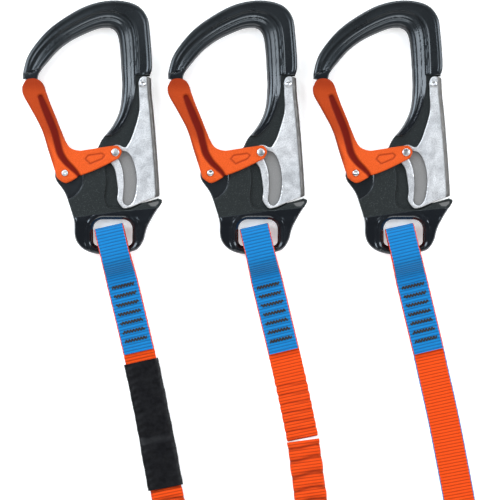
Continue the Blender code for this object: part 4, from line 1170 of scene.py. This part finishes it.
class TETHER_OT_bodies(HookPieces, bpy.types.Operator):
    """Forged bodies of the three hooks"""
    bl_idname = "tether.bodies"
    bl_label = "Hook bodies"

    def execute(self, context):
        points, faces, satin = body_shell()
        self.at_stations((points, faces), "forging", "hook", "forged_body", ["hook_body"],
                         forged_finish(context.scene.tether_colours), {"satin": satin})
        return {"FINISHED"}


class TETHER_OT_gates(HookPieces, bpy.types.Operator):
    """Orange gates of the three hooks"""
    bl_idname = "tether.gates"
    bl_label = "Gates"

    def execute(self, context):
        points, faces, shade = gate_shell()
        self.at_stations((points, faces), "gate_casting", "gate_arm", "gate", ["gate"],
                         gate_finish(context.scene.tether_colours), {"shade": shade})
        return {"FINISHED"}


class TETHER_OT_levers(HookPieces, bpy.types.Operator):
    """Bare metal palm levers of the three hooks"""
    bl_idname = "tether.levers"
    bl_label = "Levers"

    def execute(self, context):
        points, faces, shade = lever_shell(context.scene.tether_sizes.lever_fold)
        self.at_stations((points, faces), "lever_pressing", "palm_lever", "lever", ["lever"],
                         lever_finish(context.scene.tether_colours), {"shade": shade})
        return {"FINISHED"}


class TETHER_OT_rivets(HookPieces, bpy.types.Operator):
    """Rivets and link pins of the three hooks"""
    bl_idname = "tether.rivets"
    bl_label = "Rivets and pins"

    def execute(self, context):
        steel = steel_finish("bright steel", (0.68, 0.68, 0.69), 0.34)
        under_gate, under_lever = GATE_HIGH + 0.3, LEVER_HIGH + 0.3
        heads = [("gate_rivet", GATE_PIVOT, 2.1, under_gate, RIVET_HIGH, 1.5, 0.9, "hook"),
                 ("link_pin", LINK_PIN, 2.65, under_gate, RIVET_HIGH, 1.25, 0.0, "gate_arm"),
                 ("lever_rivet", LEVER_PIVOT, 2.3, under_lever, under_lever + 0.8, 1.5, 1.3,
                  "hook")]
        for node, centre, head, low, high, shaft, dimple, body in heads:
            shell = rivet_shell(centre, head, low, high, shaft, dimple)
            self.at_stations(shell, f"{node}_turned", body, "rivets", [node], steel, sharp=50.0)
        return {"FINISHED"}


class TETHER_OT_springs(bpy.types.Operator):
    """Steel on the return springs, which keep their solid shape"""
    bl_idname = "tether.springs"
    bl_label = "Springs"

    def execute(self, context):
        wire = steel_finish("drawn wire", (0.5, 0.51, 0.53), 0.3)
        for station in STATIONS:
            for part in ("gate_spring", "lever_spring"):
                node = frame["nodes"][f"{station}_{part}"]
                node.data.materials.clear()
                node.data.materials.append(wire)
        return {"FINISHED"}


def two_tone(context):
    """Webbing with an orange face and a blue back."""
    sizes, colours = context.scene.tether_sizes, context.scene.tether_colours
    return finish_named("two-tone webbing", lambda: webbing_finish(
        "two-tone webbing", sizes, tuple(colours.orange), tuple(colours.blue)))


class TETHER_OT_straps(bpy.types.Operator):
    """Sewn strap ends, each folded round a hook's eye bar"""
    bl_idname = "tether.straps"
    bl_label = "Sewn straps"

    def execute(self, context):
        for station in STATIONS:
            points, faces, uv, values = strap_shell(station, context.scene.tether_sizes)
            offset = station_place(station) * (1, 1, 0)
            piece = make_object(f"{station}_sewn_webbing", points + offset, faces,
                                two_tone(context), uv, values, 60.0)
            settled(piece, "webbing", "sewn_straps", f"{station}_strap")
        return {"FINISHED"}


class TETHER_OT_tacks(bpy.types.Operator):
    """Rows of black zigzag stitches that close each strap's loop"""
    bl_idname = "tether.tacks"
    bl_label = "Bar tacks"

    def execute(self, context):
        colours = context.scene.tether_colours
        thread = plain_finish("tack thread", tuple(colours.thread), 0.6, 3000, 0.0001,
                              Sheen_Weight=0.2)
        for station in STATIONS:
            points, faces = tack_shell(station, context.scene.tether_sizes)
            piece = make_object(f"{station}_bar_tacks",
                                points + station_place(station) * (1, 1, 0), faces, thread)
            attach(piece, "webbing")
        return {"FINISHED"}


class TETHER_OT_sleeve(bpy.types.Operator):
    """Shrunk sleeve over the joint of the straps"""
    bl_idname = "tether.sleeve"
    bl_label = "Junction sleeve"

    def execute(self, context):
        colours = context.scene.tether_colours
        black = plain_finish("shrunk tube", tuple(colours.sleeve), 0.42, 420, 0.0002,
                             Specular_IOR_Level=0.15)
        points, faces = sleeve_shell()
        piece = make_object("shrunk_sleeve", points + station_place("harness") * (1, 1, 0),
                            faces, black, sharp=50.0)
        settled(piece, "webbing", "sleeve", "junction_sleeve")
        return {"FINISHED"}


class TETHER_OT_legs(bpy.types.Operator):
    """The flat leg, and the gathered leg with its elastic core"""
    bl_idname = "tether.legs"
    bl_label = "Legs"

    def leg(self, context, name, route, width, thick, step, relief_of, finish, node):
        centre, side, up, along = leg_path(route, width, thick, step)
        points, faces, uv, values = ribbon(centre, side, up, along,
                                           np.full(len(centre), width), thick, relief_of, 24)
        values["back"] = 1 - values["back"]
        piece = make_object(name, points, faces, finish, uv, values, 60.0)
        settled(piece, "webbing", "leg_webbing", node)
        path = centre[::8] * MM
        path[-1] = centre[-1] * MM

    def execute(self, context):
        sizes, colours = context.scene.tether_sizes, context.scene.tether_colours
        self.leg(context, "flat_leg_webbing", STATIC_ROUTE, sizes.webbing_width, WEBBING_THICK,
                 0.62, woven(sizes), two_tone(context), "static_leg")
        orange = webbing_finish("elastic webbing", sizes, tuple(colours.orange),
                                tuple(colours.orange))
        self.leg(context, "gathered_leg_webbing", ELASTIC_ROUTE, ELASTIC_WIDE, ELASTIC_THICK,
                 0.7, gathered(sizes), orange, "elastic_leg")
        rubber = plain_finish("rubber band", (0.03, 0.03, 0.03), 0.7, 800, 0.0002)
        core = frame["nodes"]["elastic_core"]
        core.data.materials.clear()
        core.data.materials.append(rubber)
        return {"FINISHED"}


class TETHER_PT_panel(bpy.types.Panel):
    """Lists the tether's pieces and settings"""
    bl_idname = "TETHER_PT_panel"
    bl_label = "Safety tether"
    bl_space_type = "VIEW_3D"
    bl_region_type = "UI"
    bl_category = "Tether"

    def draw(self, context):
        for operator in OPERATORS:
            self.layout.operator(operator.bl_idname)
        for group in (context.scene.tether_sizes, context.scene.tether_colours):
            for name in group.__annotations__:
                self.layout.prop(group, name)


OPERATORS = (TETHER_OT_stage, TETHER_OT_legs, TETHER_OT_bodies, TETHER_OT_gates,
             TETHER_OT_levers, TETHER_OT_rivets, TETHER_OT_springs, TETHER_OT_straps,
             TETHER_OT_tacks, TETHER_OT_sleeve)
CLASSES = (TetherSizes, TetherColours, *OPERATORS, TETHER_PT_panel)


def register():
    for made in CLASSES:
        bpy.utils.register_class(made)
    bpy.types.Scene.tether_sizes = PointerProperty(type=TetherSizes)
    bpy.types.Scene.tether_colours = PointerProperty(type=TetherColours)


def unregister():
    del bpy.types.Scene.tether_colours
    del bpy.types.Scene.tether_sizes
    for made in reversed(CLASSES):
        bpy.utils.unregister_class(made)


def main():
    register()
    for operator in OPERATORS:
        group, name = operator.bl_idname.split(".")
        getattr(getattr(bpy.ops, group), name)()


if __name__ == "__main__":
    main()
